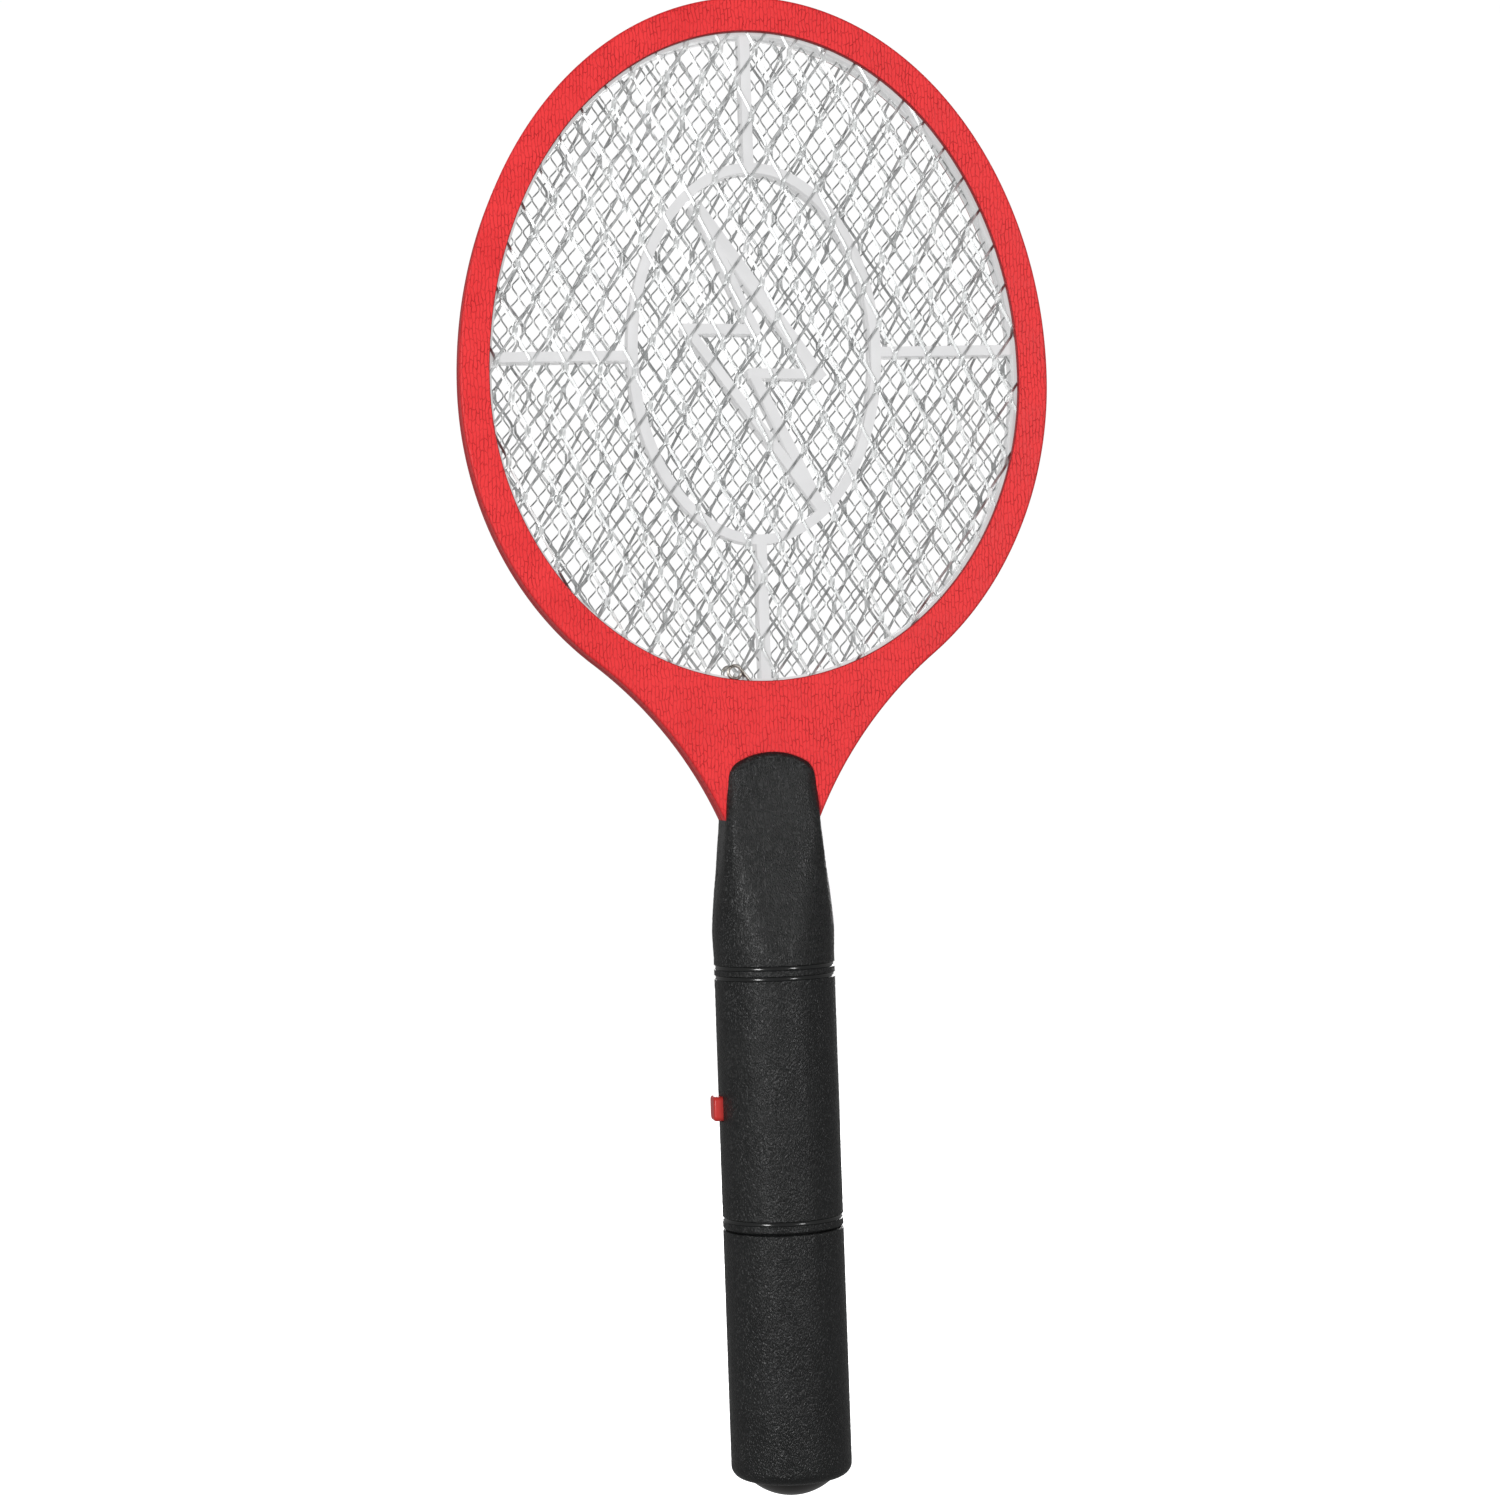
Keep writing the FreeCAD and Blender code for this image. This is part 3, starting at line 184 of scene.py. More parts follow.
def embossed_red():
    """Red shell: tall narrow embossed cells on the faces with painted shade in their valleys, plain and
    darkened with painted shade on the walls.
    """
    nodes = Nodes("red_plastic")
    face = nodes.add("Attribute", attribute_name="face").outputs["Fac"]
    split = nodes.add("SeparateXYZ", {"Vector": nodes.place})
    sway_reach = 1.9 * MM
    slip_reach = 5.5 * MM
    sway = nodes.math("MULTIPLY", nodes.noise(260.0, 2.0, stretch=(1, 1, 0.7)), sway_reach)
    slip = nodes.math("MULTIPLY", nodes.noise(620.0, 2.0, stretch=(1, 1, 0.12)), slip_reach)
    across = nodes.math("ADD", split.outputs["X"], sway)
    along = nodes.math("ADD", split.outputs["Z"], slip)
    flat = nodes.add("CombineXYZ", {"X": along, "Y": across}).outputs["Vector"]
    cells = nodes.add("TexBrick", {"Vector": flat, "Scale": 1 / MM, "Mortar Size": 0.15, "Mortar Smooth": 0.5,
                                   "Brick Width": 3.3, "Row Height": 1.05}, offset=0.43, offset_frequency=3)
    valley = nodes.math("MULTIPLY", cells.outputs["Fac"], face)
    cloud = nodes.noise(90.0, 4.0)
    patches = nodes.ramp(nodes.noise(240.0, 3.0), 0.35, 0.7)
    shallowest = 0.45
    strength = nodes.math("ADD", shallowest, nodes.math("MULTIPLY", patches, 1 - shallowest))
    depth = nodes.math("MULTIPLY", valley, strength)
    fine = nodes.noise(1300.0, 4.0, stretch=(1.6, 1, 0.5))
    top = nodes.mix(nodes.ramp(cloud, 0.3, 0.7), rgb(0.78, 0.026, 0.030), rgb(0.84, 0.033, 0.037))
    # painted shade: the valleys between the embossed cells are coloured darker
    valley_painted_shade = rgb(0.46, 0.008, 0.011)
    # painted shade: the walls, the opening's lip and the parting line take this darker red
    wall_painted_shade = rgb(0.34, 0.009, 0.012)
    colour = nodes.mix(face, wall_painted_shade, nodes.mix(depth, top, valley_painted_shade))
    gloss = nodes.ramp(cloud, 0.3, 0.7, 0.44, 0.56)
    height = nodes.math("SUBTRACT", nodes.math("MULTIPLY", fine, 0.5), depth)
    return nodes.finish(colour, gloss, nodes.bump(height, 0.10 * MM), Specular_IOR_Level=0.30)


def leather_black():
    """Near-black plastic with a pebbled leather grain, smooth and glossy in the ring grooves."""
    nodes = Nodes("black_plastic")
    split = nodes.add("SeparateXYZ", {"Vector": nodes.place})
    smooth_within = 0.5 * MM
    mask = 1.0
    for height in GROOVES:
        away = nodes.math("ABSOLUTE", nodes.math("SUBTRACT", split.outputs["Z"], height))
        mask = nodes.math("MULTIPLY", mask, nodes.ramp(away, smooth_within, GROOVE_WIRE))
    pebbles = nodes.ramp(nodes.cells(1700.0, stretch=(1, 1, 0.5)), 0.0, 0.3)
    fine = nodes.noise(2900.0, 3.0, stretch=(1, 1, 0.6))
    grain = nodes.math("ADD", pebbles, nodes.math("MULTIPLY", fine, 0.8))
    height = nodes.math("MULTIPLY", grain, mask)
    cloud = nodes.noise(60.0, 5.0)
    colour = nodes.mix(nodes.ramp(cloud, 0.3, 0.7), rgb(0.0062, 0.0066, 0.0066), rgb(0.0094, 0.0100, 0.0100))
    gloss = nodes.math("ADD", nodes.ramp(mask, 0.0, 1.0, 0.14, 0.30), nodes.ramp(cloud, 0.3, 0.7, 0.0, 0.06))
    nodes.feed(nodes.shader.inputs["Specular IOR Level"], nodes.ramp(mask, 0.0, 1.0, 0.65, 0.32))
    return nodes.finish(colour, gloss, nodes.bump(height, 0.11 * MM))


def bright_metal(name, dark, light, low, high):
    """Bare sheet or wire: streaked brightness and uneven gloss."""
    nodes = Nodes(name)
    streak = nodes.noise(700.0, 4.0, stretch=(1, 1, 0.25))
    fine = nodes.noise(5200.0, 2.0)
    colour = nodes.mix(nodes.ramp(streak, 0.3, 0.7), dark, light)
    gloss = nodes.ramp(streak, 0.3, 0.7, low, high)
    return nodes.finish(colour, gloss, nodes.bump(fine, 0.02 * MM), Metallic=1.0)


def spacer_plastic():
    """Milky lattice plastic with a painted glow that keeps its sides pale."""
    nodes = Nodes("white_plastic")
    cloud = nodes.noise(70.0, 4.0)
    fine = nodes.noise(1500.0, 3.0)
    colour = nodes.mix(nodes.ramp(cloud, 0.3, 0.7), rgb(0.30, 0.30, 0.305), rgb(0.36, 0.36, 0.365))
    gloss = nodes.ramp(cloud, 0.3, 0.7, 0.40, 0.54)
    # painted light: the lattice plastic glows so that its shaded sides stay pale
    painted_glow_strength = 0.40
    glow = {"Emission_Color": rgb(1.0, 1.0, 1.0), "Emission_Strength": painted_glow_strength}
    return nodes.finish(colour, gloss, nodes.bump(fine, 0.015 * MM), Specular_IOR_Level=0.2, **glow)


MATERIALS = {
    "red_plastic": embossed_red(),
    "black_plastic": leather_black(),
    "white_plastic": spacer_plastic(),
    "cap_plastic": moulded("cap_plastic", rgb(0.005, 0.004, 0.003), rgb(0.009, 0.007, 0.006), 0.16, 0.24,
                           specular=0.3),
    "cradle_plastic": moulded("cradle_plastic", rgb(0.035, 0.035, 0.037), rgb(0.055, 0.055, 0.058)),
    "button_plastic": moulded("button_plastic", rgb(0.50, 0.022, 0.018), rgb(0.58, 0.032, 0.026), 0.32, 0.42),
    "grid_metal": bright_metal("grid_metal", rgb(0.42, 0.43, 0.43), rgb(0.66, 0.67, 0.67), 0.40, 0.56),
    "contact_wire": bright_metal("contact_wire", rgb(0.30, 0.27, 0.24), rgb(0.52, 0.49, 0.45), 0.25, 0.40),
    "contact_metal": bright_metal("contact_metal", rgb(0.62, 0.60, 0.56), rgb(0.80, 0.79, 0.75), 0.22, 0.36),
    "screw_steel": bright_metal("screw_steel", rgb(0.42, 0.42, 0.43), rgb(0.62, 0.62, 0.63), 0.26, 0.40),
    "board_laminate": moulded("board_laminate", rgb(0.30, 0.19, 0.07), rgb(0.42, 0.28, 0.11), 0.45, 0.6),
    "switch_plastic": moulded("switch_plastic", rgb(0.018, 0.018, 0.018), rgb(0.030, 0.030, 0.030)),
    "ferrite": moulded("ferrite", rgb(0.050, 0.050, 0.055), rgb(0.085, 0.085, 0.090), 0.4, 0.6),
    "winding_tape": moulded("winding_tape", rgb(0.62, 0.42, 0.05), rgb(0.76, 0.56, 0.09), 0.2, 0.3),
    "capacitor_coat": moulded("capacitor_coat", rgb(0.36, 0.035, 0.022), rgb(0.50, 0.055, 0.035), 0.18, 0.3),
    "diode_black": moulded("diode_black", rgb(0.020, 0.020, 0.022), rgb(0.034, 0.034, 0.036)),
    "resistor_body": moulded("resistor_body", rgb(0.52, 0.38, 0.20), rgb(0.62, 0.47, 0.27)),
    "lead_red": moulded("lead_red", rgb(0.42, 0.018, 0.016), rgb(0.52, 0.026, 0.022), 0.3, 0.4),
    "lead_black": moulded("lead_black", rgb(0.014, 0.014, 0.014), rgb(0.024, 0.024, 0.024), 0.3, 0.4),
    "cell_jacket": moulded("cell_jacket", rgb(0.030, 0.080, 0.055), rgb(0.050, 0.120, 0.085), 0.2, 0.3),
}


# ---------------------------------------------------------------- pieces

def new_piece(name, mesh, body, slot, *nodes):
    """Visible piece that rides a body, with the material of a slot, in place of the CAD nodes given."""
    piece = bpy.data.objects.new(name, mesh)
    bpy.context.scene.collection.objects.link(piece)
    mesh.materials.clear()
    mesh.materials.append(MATERIALS[slot])
    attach(piece, body)
    if nodes:
        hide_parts(*nodes)


def mesh_of(name, points, faces):
    mesh = bpy.data.meshes.new(name)
    mesh.from_pydata([tuple(point) for point in points], [], [tuple(face) for face in faces])
    return mesh


def outward(mesh):
    """Make every face of a closed mesh look outwards."""
    work = bmesh.new()
    work.from_mesh(mesh)
    bmesh.ops.recalc_face_normals(work, faces=work.faces)
    work.to_mesh(mesh)
    work.free()


class Skin:
    """Points and faces of a closed skin while it is being made."""

    def __init__(self):
        self.points = []
        self.faces = []

    def add(self, points):
        """Add points and return their numbers."""
        first = len(self.points)
        self.points.extend(points)
        return list(range(first, len(self.points)))

    def strip(self, one, two, closed=False):
        """Quads between two rows of as many points."""
        count = len(one)
        for i in range(count if closed else count - 1):
            j = (i + 1) % count
            self.faces.append((one[i], one[j], two[j], two[i]))

    def sheet(self, rows, closed=False):
        """Quads between each row and the next."""
        for one, two in zip(rows, rows[1:]):
            self.strip(one, two, closed)

    def ends(self, rows):
        """Close the first and the last of a list of rings."""
        self.faces.append(tuple(rows[0][::-1]))
        self.faces.append(tuple(rows[-1]))

    def mesh(self, name):
        mesh = mesh_of(name, self.points, self.faces)
        outward(mesh)
        mesh.shade_smooth()
        mesh.set_sharp_from_angle(angle=SHARP_FROM)
        return mesh


def paint_nodes():
    """Give each CAD node the material of its slot in the record."""
    for node, slot in SLOT_OF.items():
        data = frame["nodes"][node].data
        data.materials.clear()
        data.materials.append(MATERIALS[slot])


BODY_OF = {node: body for body, nodes in frame["record"]["behaviour"]["bodies"].items() for node in nodes}
SLOT_OF = {row["node"]: row["material_slot"] for row in frame["record"]["subparts"]}
paint_nodes()


def softened(node, width):
    """The shape of a CAD node with its sharp edges broken and its curved faces shaded smooth."""
    corner = math.radians(35)
    source = frame["nodes"][node].data
    work = bmesh.new()
    work.from_mesh(source)
    bmesh.ops.remove_doubles(work, verts=work.verts, dist=0.001 * MM)
    bmesh.ops.dissolve_limit(work, angle_limit=math.radians(0.4), verts=work.verts, edges=work.edges)
    mesh = bpy.data.meshes.new(node + "_finish")
    work.to_mesh(mesh)
    work.free()
    holder = bpy.data.objects.new(node + "_holder", mesh)
    bpy.context.scene.collection.objects.link(holder)
    bevel = holder.modifiers.new("Bevel", "BEVEL")
    bevel.width = width
    bevel.segments = 2
    bevel.limit_method = "ANGLE"
    bevel.angle_limit = corner
    bpy.context.view_layer.update()
    result = bpy.data.meshes.new_from_object(holder.evaluated_get(bpy.context.evaluated_depsgraph_get()))
    bpy.data.objects.remove(holder)
    result.name = node + "_finish"
    result.shade_smooth()
    result.set_sharp_from_angle(angle=corner)
    new_piece(node + "_finish", result, BODY_OF[node], SLOT_OF[node], node)


# ---------------------------------------------------------------- head outlines

def oval(angles, half_width, rise, drop):
    """Points (x, z) of the head's double half-ellipse."""
    tall = np.where(np.sin(angles) > 0, rise, drop)
    return np.stack([half_width * np.cos(angles), HEAD_CENTRE + tall * np.sin(angles)], axis=1)


def flank(inset, count):
    """Right flank of the neck from the oval down to the root: an arc tangent to the oval."""
    half_width = HEAD_HALF_WIDTH - inset
    drop = HEAD_DROP - inset
    start = Vector((half_width * math.cos(NECK_JOIN), HEAD_CENTRE - drop * math.sin(NECK_JOIN)))
    normal = Vector((math.cos(NECK_JOIN) / half_width, -math.sin(NECK_JOIN) / drop)).normalized()
    root = NECK_ROOT - Vector((inset, 0))
    chord = start - root
    radius = chord.dot(chord) / (-2 * normal.dot(chord))
    centre = start + normal * radius
    first = math.atan2(start.y - centre.y, start.x - centre.x)
    last = math.atan2(root.y - centre.y, root.x - centre.x)
    if last < first - math.pi:
        last += 2 * math.pi
    if last > first + math.pi:
        last -= 2 * math.pi
    sweep = np.linspace(first, last, count)
    return np.stack([centre.x + abs(radius) * np.cos(sweep), centre.y + abs(radius) * np.sin(sweep)], axis=1)


def loop_normals(points):
    """Outward normals of a closed loop that runs anticlockwise."""
    ahead = np.roll(points, -1, axis=0) - np.roll(points, 1, axis=0)
    ahead /= np.linalg.norm(ahead, axis=1)[:, None]
    return np.stack([ahead[:, 1], -ahead[:, 0]], axis=1)


def smoothstep(value, low, high):
    share = np.clip((value - low) / (high - low), 0.0, 1.0)
    return share * share * (3 - 2 * share)


def emboss(across, along, width, height, seed):
    """1 on top of tall embossed cells of that width and height, and 0 in the valleys between them."""
    draw = np.random.RandomState(seed)
    table = 256
    side_jitter = 0.24
    side_wave = 0.16
    end_jitter = 0.3
    valley = (0.05 * MM, 0.35 * MM)
    side_at = draw.uniform(-side_jitter, side_jitter, table)
    phase = draw.uniform(0, 2 * math.pi, table)
    shift = draw.uniform(0, 1, table)
    end_at = draw.uniform(-end_jitter, end_jitter, (table, table))
    u = across / width + 0.25 * np.sin(along / (2.2 * height))
    v = along / height

    def side(column):
        return column + side_at[column % table] + side_wave * np.sin(5 * v + phase[column % table])

    column = np.floor(u).astype(int)
    column = np.where(u < side(column), column - 1, np.where(u > side(column + 1), column + 1, column))
    side_gap = np.minimum(u - side(column), side(column + 1) - u) * width
    w = v + shift[column % table]

    def end(row):
        return row + end_at[column % table, row % table]

    row = np.floor(w).astype(int)
    row = np.where(w < end(row), row - 1, np.where(w > end(row + 1), row + 1, row))
    end_gap = np.minimum(w - end(row), end(row + 1) - w) * height
    return smoothstep(np.minimum(side_gap, end_gap), *valley)


# ---------------------------------------------------------------- frame shells

# points round the rim and across the neck, and rows of the band and of the neck
RIM_STEPS = 1120
NECK_STEPS = 236
BAND_ROWS = 20
NECK_ROWS = 104


class Shell(Skin):
    """Skin of one frame half, with how much of the face's colour each of its points takes; the rest is
    painted shade.
    """

    def __init__(self, side):
        super().__init__()
        self.side = side
        self.on_face = []

    def add(self, flat, depth, on_face=0.0):
        """Add points (x, z) at a distance depth from the mid plane and return their numbers."""
        self.on_face.extend([on_face] * len(flat))
        depths = np.broadcast_to(depth, len(flat))
        return super().add([(x, self.side * d, z) for (x, z), d in zip(flat, depths)])

    def add_embossed(self, flat, seed):
        """Add a row of points (x, z) on the embossed face and return their numbers."""
        relief = emboss(flat[:, 0], flat[:, 1], *BARK_CELL, seed)
        return self.add(flat, FACE - EMBOSS_DEPTH * (1 - relief), 1.0)

    def outline(self, numbers):
        """The points (x, z) that have those numbers."""
        return np.array([(self.points[i][0], self.points[i][2]) for i in numbers])


def flash(points, seed):
    """How far moulding flash stands out at the parting line: specks, most of them on the right flank."""
    draw = np.random.RandomState(seed)
    specks = smoothstep(draw.uniform(0, 1, len(points)), 0.62, 1.0)
    specks = 0.5 * specks + 0.25 * (np.roll(specks, 1) + np.roll(specks, -1))
    flank_part = smoothstep(points[:, 0], 8 * MM, 14 * MM) * smoothstep(-points[:, 1], -236 * MM, -222 * MM)
    everywhere = 0.10 * MM
    on_flank = 0.42 * MM
    return specks * (everywhere + on_flank * flank_part)


def quarter_turn(radius, steps):
    """Points (out, back) of a rounded edge, without its first point."""
    angles = [math.pi / 2 * step / steps for step in range(1, steps + 1)]
    return [(radius * math.sin(angle), radius * (1 - math.cos(angle))) for angle in angles]


def frame_face(shell, seed):
    """Embossed band round the opening and embossed neck. Returns the opening's loop and the outside's."""
    rim = np.linspace(-NECK_JOIN, math.pi + NECK_JOIN, RIM_STEPS + 1)
    under = np.linspace(math.pi + NECK_JOIN, 2 * math.pi - NECK_JOIN, NECK_STEPS + 1)[1:-1]
    angles = np.concatenate([rim, under])
    lip = oval(angles, OPENING_HALF_WIDTH + LIP_ROUND, OPENING_RISE + LIP_ROUND, OPENING_DROP + LIP_ROUND)
    outer = oval(angles, HEAD_HALF_WIDTH - EDGE_ROUND, HEAD_RISE - EDGE_ROUND, HEAD_DROP - EDGE_ROUND)
    shares = np.linspace(0, 1, BAND_ROWS + 1)
    band = [shell.add_embossed(lip + (outer - lip) * share, seed) for share in shares]
    shell.sheet(band, closed=True)
    # neck: a patch between the oval, the two flanks and the root
    top = np.concatenate([outer[RIM_STEPS:], outer[:1]])
    right = flank(EDGE_ROUND, NECK_ROWS + 1)
    left = right * np.array([-1, 1])
    share = np.linspace(0, 1, NECK_STEPS + 1)[:, None]
    root = left[-1] + (right[-1] - left[-1]) * share
    neck = [band[-1][RIM_STEPS:] + band[-1][:1]]
    for row in range(1, NECK_ROWS + 1):
        down = row / NECK_ROWS
        corners = ((1 - share) * (1 - down) * top[0] + share * (1 - down) * top[-1]
                   + (1 - share) * down * root[0] + share * down * root[-1])
        flat = (1 - down) * top + down * root + (1 - share) * left[row] + share * right[row] - corners
        neck.append(shell.add_embossed(flat, seed))
    shell.sheet(neck)
    border = (band[-1][:RIM_STEPS + 1] + [line[0] for line in neck[1:]] + neck[-1][1:]
              + [line[-1] for line in neck[-2:0:-1]])
    return band[0], border


def frame_outside(shell, border, seed):
    """Rounded edge, wall, parting line and the inside of the wall, coloured with painted shade that is
    darkest at the parting line. Returns the last loop.
    """
    flat = shell.outline(border)
    normals = loop_normals(flat)
    bumps = flash(flat, seed)[:, None]
    parting = 0.03 * MM
    profile = [(out, FACE - back, 0.0) for out, back in quarter_turn(EDGE_ROUND, 4)]
    profile += [(EDGE_ROUND, depth * MM, 0.0) for depth in (5.4, 4.0, 2.6, 1.2, 0.6)]
    profile += [(EDGE_ROUND, 0.42 * MM, 0.6), (EDGE_ROUND, 0.26 * MM, 1.0)]
    profile += [(EDGE_ROUND - 0.25 * MM, parting, 0.4), (EDGE_ROUND - FRAME_WALL, parting, 0.0)]
    profile += [(EDGE_ROUND - FRAME_WALL, LIP_BACK, 0.0)]
    # painted shade: wall points take only part of the face's colour, and points near the parting line take
    # none
    wall_face_share = WALL_FACE_SHARE_FRONT if shell.side < 0 else WALL_FACE_SHARE_REAR
    wall_ends = 0.5 * MM
    rings = [border]
    for offset, depth, flash_share in profile:
        face_share = wall_face_share if depth > wall_ends else 0.0
        rings.append(shell.add(flat + normals * (offset + bumps * flash_share), depth, face_share))
    shell.sheet(rings, closed=True)
    return rings[-1]


def frame_opening(shell, lip):
    """Rounded lip of the opening and its back edge, all in the dark wall red as painted shade. Returns the
    last loop.
    """
    flat = shell.outline(lip)
    inwards = -loop_normals(flat)
    back_round = 0.2 * MM
    profile = [(out, FACE - back) for out, back in quarter_turn(LIP_ROUND, 3)]
    profile += [(LIP_ROUND, 6.4 * MM), (LIP_ROUND, LIP_BACK + back_round), (LIP_ROUND - back_round, LIP_BACK)]
    rings = [lip] + [shell.add(flat + inwards * offset, depth) for offset, depth in profile]
    shell.sheet(rings, closed=True)
    return rings[-1]


def close_between(mesh, loops):
    """Fill the flat back of a mesh between two loops of its points."""
    work = bmesh.new()
    work.from_mesh(mesh)
    work.verts.ensure_lookup_table()
    edges = []
    for loop in loops:
        for number, after in zip(loop, loop[1:] + loop[:1]):
            edges.append(work.edges.get((work.verts[number], work.verts[after])))
    bmesh.ops.triangle_fill(work, edges=edges, use_beauty=False)
    bmesh.ops.recalc_face_normals(work, faces=work.faces)
    work.to_mesh(mesh)
    work.free()


def frame_half(name, node, side, seed):
    """One red half of the head: embossed face with the neck, walls, lip and a closed back."""
    shell = Shell(side)
    lip, border = frame_face(shell, seed)
    loops = (frame_outside(shell, border, seed), frame_opening(shell, lip))
    mesh = mesh_of(name, shell.points, shell.faces)
    layer = mesh.attributes.new("face", "FLOAT", "POINT")
    layer.data.foreach_set("value", np.array(shell.on_face, np.float32))
    close_between(mesh, loops)
    mesh.shade_smooth()
    mesh.set_sharp_from_angle(angle=math.radians(50))
    new_piece(name, mesh, "body", "red_plastic", node)


frame_half("frame_front_shell", "frame_front", -1, 11)
frame_half("frame_rear_shell", "frame_rear", 1, 29)


# ---------------------------------------------------------------- expanded metal

def strand_wave(turns, bond_share):
    """1 at whole turns and -1 half way, flat over each bond, and its slope's sign."""
    part = turns - np.floor(turns)
    away = np.minimum(part, 1 - part)
    share = np.clip((away - bond_share / 2) / (0.5 - bond_share), 0, 1)
    eased = 0.85 * share + 0.15 * (3 * share ** 2 - 2 * share ** 3)
    return 1 - 2 * eased


def add_bar(skin, centres, wide, deep):
    """Add a bar with a four-sided section; wide and deep are its half sides at each centre."""
    signs = ((1, 1), (-1, 1), (-1, -1), (1, -1))
    corners = np.stack([centres + wide * across + deep * along for across, along in signs], axis=1)
    sections = [skin.add(list(section)) for section in corners]
    skin.sheet(sections, closed=True)
    skin.ends(sections)


def expanded_metal(name, node, short_way, long_way, strand, thick, bond, lean, level, twist, steps, seed):
    """Zigzag ribbons side by side that touch at the bonds; twist tilts the strands between bonds."""
    reach = HEAD_RISE + 12 * MM
    margin = 3.0 * MM
    jitter = 0.12 * MM
    warp_reach = 0.28 * MM
    ripple_reach = 0.05 * MM
    turn = math.radians(lean)
    along = np.arange(-reach, reach, long_way / 2 / steps)
    count = int(reach / (short_way / 2)) + 1
    skin = Skin()
    draw = np.random.RandomState(seed)
    for ribbon in range(-count, count):
        wave = strand_wave(along / long_way + 0.5 * (ribbon % 2), bond / long_way)
        slope = np.gradient(wave)
        tilt = (math.radians(twist) * slope / np.abs(slope).max())[:, None]
        across = (ribbon + 0.5) * short_way / 2 + (short_way / 4 - strand / 2) * wave
        warp = np.sin(along / (31 * MM) + ribbon * 0.23) + 0.6 * np.sin(along / (13 * MM) + ribbon * 0.41)
        across = across + draw.uniform(-jitter, jitter) + warp_reach * warp
        x = across * math.cos(turn) + along * math.sin(turn)
        z = HEAD_CENTRE - across * math.sin(turn) + along * math.cos(turn)
        y = level + ripple_reach * np.sin(along / (9 * MM) + ribbon * 1.7)
        tall = np.where(z > HEAD_CENTRE, OPENING_RISE, OPENING_DROP) + margin
        inside = (x / (OPENING_HALF_WIDTH + margin)) ** 2 + ((z - HEAD_CENTRE) / tall) ** 2 < 1
        if inside.sum() < 3:
            continue
        ahead = np.gradient(np.stack([x, z], axis=1), axis=0)
        ahead /= np.linalg.norm(ahead, axis=1)[:, None]
        level_side = np.stack([ahead[:, 1], 0 * x, -ahead[:, 0]], axis=1)
        through = np.array([0.0, 1.0, 0.0])
        wide = (level_side * np.cos(tilt) + through * np.sin(tilt)) * strand / 2
        deep = (through * np.cos(tilt) - level_side * np.sin(tilt)) * thick / 2
        add_bar(skin, np.stack([x, y, z], axis=1)[inside], wide[inside], deep[inside])
    mesh = mesh_of(name, skin.points, skin.faces)
    outward(mesh)
    new_piece(name, mesh, "body", "grid_metal", node)


COARSE_LEVEL = (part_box("rear_grid")[0].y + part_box("rear_grid")[1].y) / 2
COARSE = {"short_way": 10.2 * MM, "long_way": 19.3 * MM, "strand": 0.76 * MM, "thick": 0.26 * MM,
          "bond": 2.4 * MM, "twist": 27, "steps": 12}
FINE = {"short_way": 4.55 * MM, "long_way": 6.43 * MM, "strand": 0.38 * MM, "thick": 0.26 * MM,
        "bond": 0.8 * MM, "twist": 44, "steps": 5}
expanded_metal("front_grid_mesh", "front_grid", lean=4.7, level=-COARSE_LEVEL, seed=3, **COARSE)
expanded_metal("rear_grid_mesh", "rear_grid", lean=-2.0, level=COARSE_LEVEL, seed=5, **COARSE)
expanded_metal("middle_grid_mesh", "middle_grid", lean=5.0, level=0.0, seed=7, **FINE)


# ---------------------------------------------------------------- handle

# points of a row on each side of the slot and across the tongue, and rows of the tongue
BESIDE = 9
ACROSS = 92
TONGUE_ROWS = 44


def groove_dip(z):
    """How far the ring grooves cut in at a height."""
    dip = 0.0
    for height in GROOVES:
        away = abs(z - height)
        if away < GROOVE_WIRE:
            dip = max(dip, math.sqrt(GROOVE_WIRE ** 2 - away ** 2) - (GROOVE_WIRE - GROOVE_DEPTH))
    return dip


def grain_mask(z):
    """Leather grain fades out beside the grooves."""
    return min(float(smoothstep(abs(z - height), 0.8 * MM, 1.2 * MM)) for height in GROOVES)


def between(data, i, share):
    """Smooth curve through a row of values, that share of the way from number i to the next."""
    before = data[max(i - 1, 0)]
    after = data[min(i + 2, len(data) - 1)]
    slope_one = (data[i + 1] - before) / 2
    slope_two = (after - data[i]) / 2
    rise = 3 * share ** 2 - 2 * share ** 3
    return ((1 - rise) * data[i] + (share ** 3 - 2 * share ** 2 + share) * slope_one
            + rise * data[i + 1] + (share ** 3 - share ** 2) * slope_two)


def neck_section(z):
    """Half width, half depth and roundness of the handle at a height."""
    sections = np.array(NECK_SECTIONS)
    heights = sections[:, 0] * MM
    if z <= heights[0]:
        radius = GRIP_RADIUS - groove_dip(z)
        return radius, radius, 2.0
    z = min(z, heights[-1])
    i = min(int(np.searchsorted(heights, z, side="right")) - 1, len(heights) - 2)
    share = (z - heights[i]) / (heights[i + 1] - heights[i])
    half_width, half_depth, roundness = [between(sections[:, column], i, share) for column in (1, 2, 3)]
    return half_width * MM, half_depth * MM, roundness


def section_radius(z, angles):
    """Distance of the handle's outside from its axis at a height, in each direction."""
    half_width, half_depth, power = neck_section(z)
    wide = np.abs(np.cos(angles) / half_width) ** power
    deep = np.abs(np.sin(angles) / half_depth) ** power
    return (wide + deep) ** (-1 / power)


def edge_angle(z):
    """Angle at which the handle's outside meets the face of the head."""
    half_width, half_depth, power = neck_section(z)
    reach = half_width * (1 - min(FACE / half_depth, 0.999) ** power) ** (1 / power)
    return math.atan2(FACE, reach)


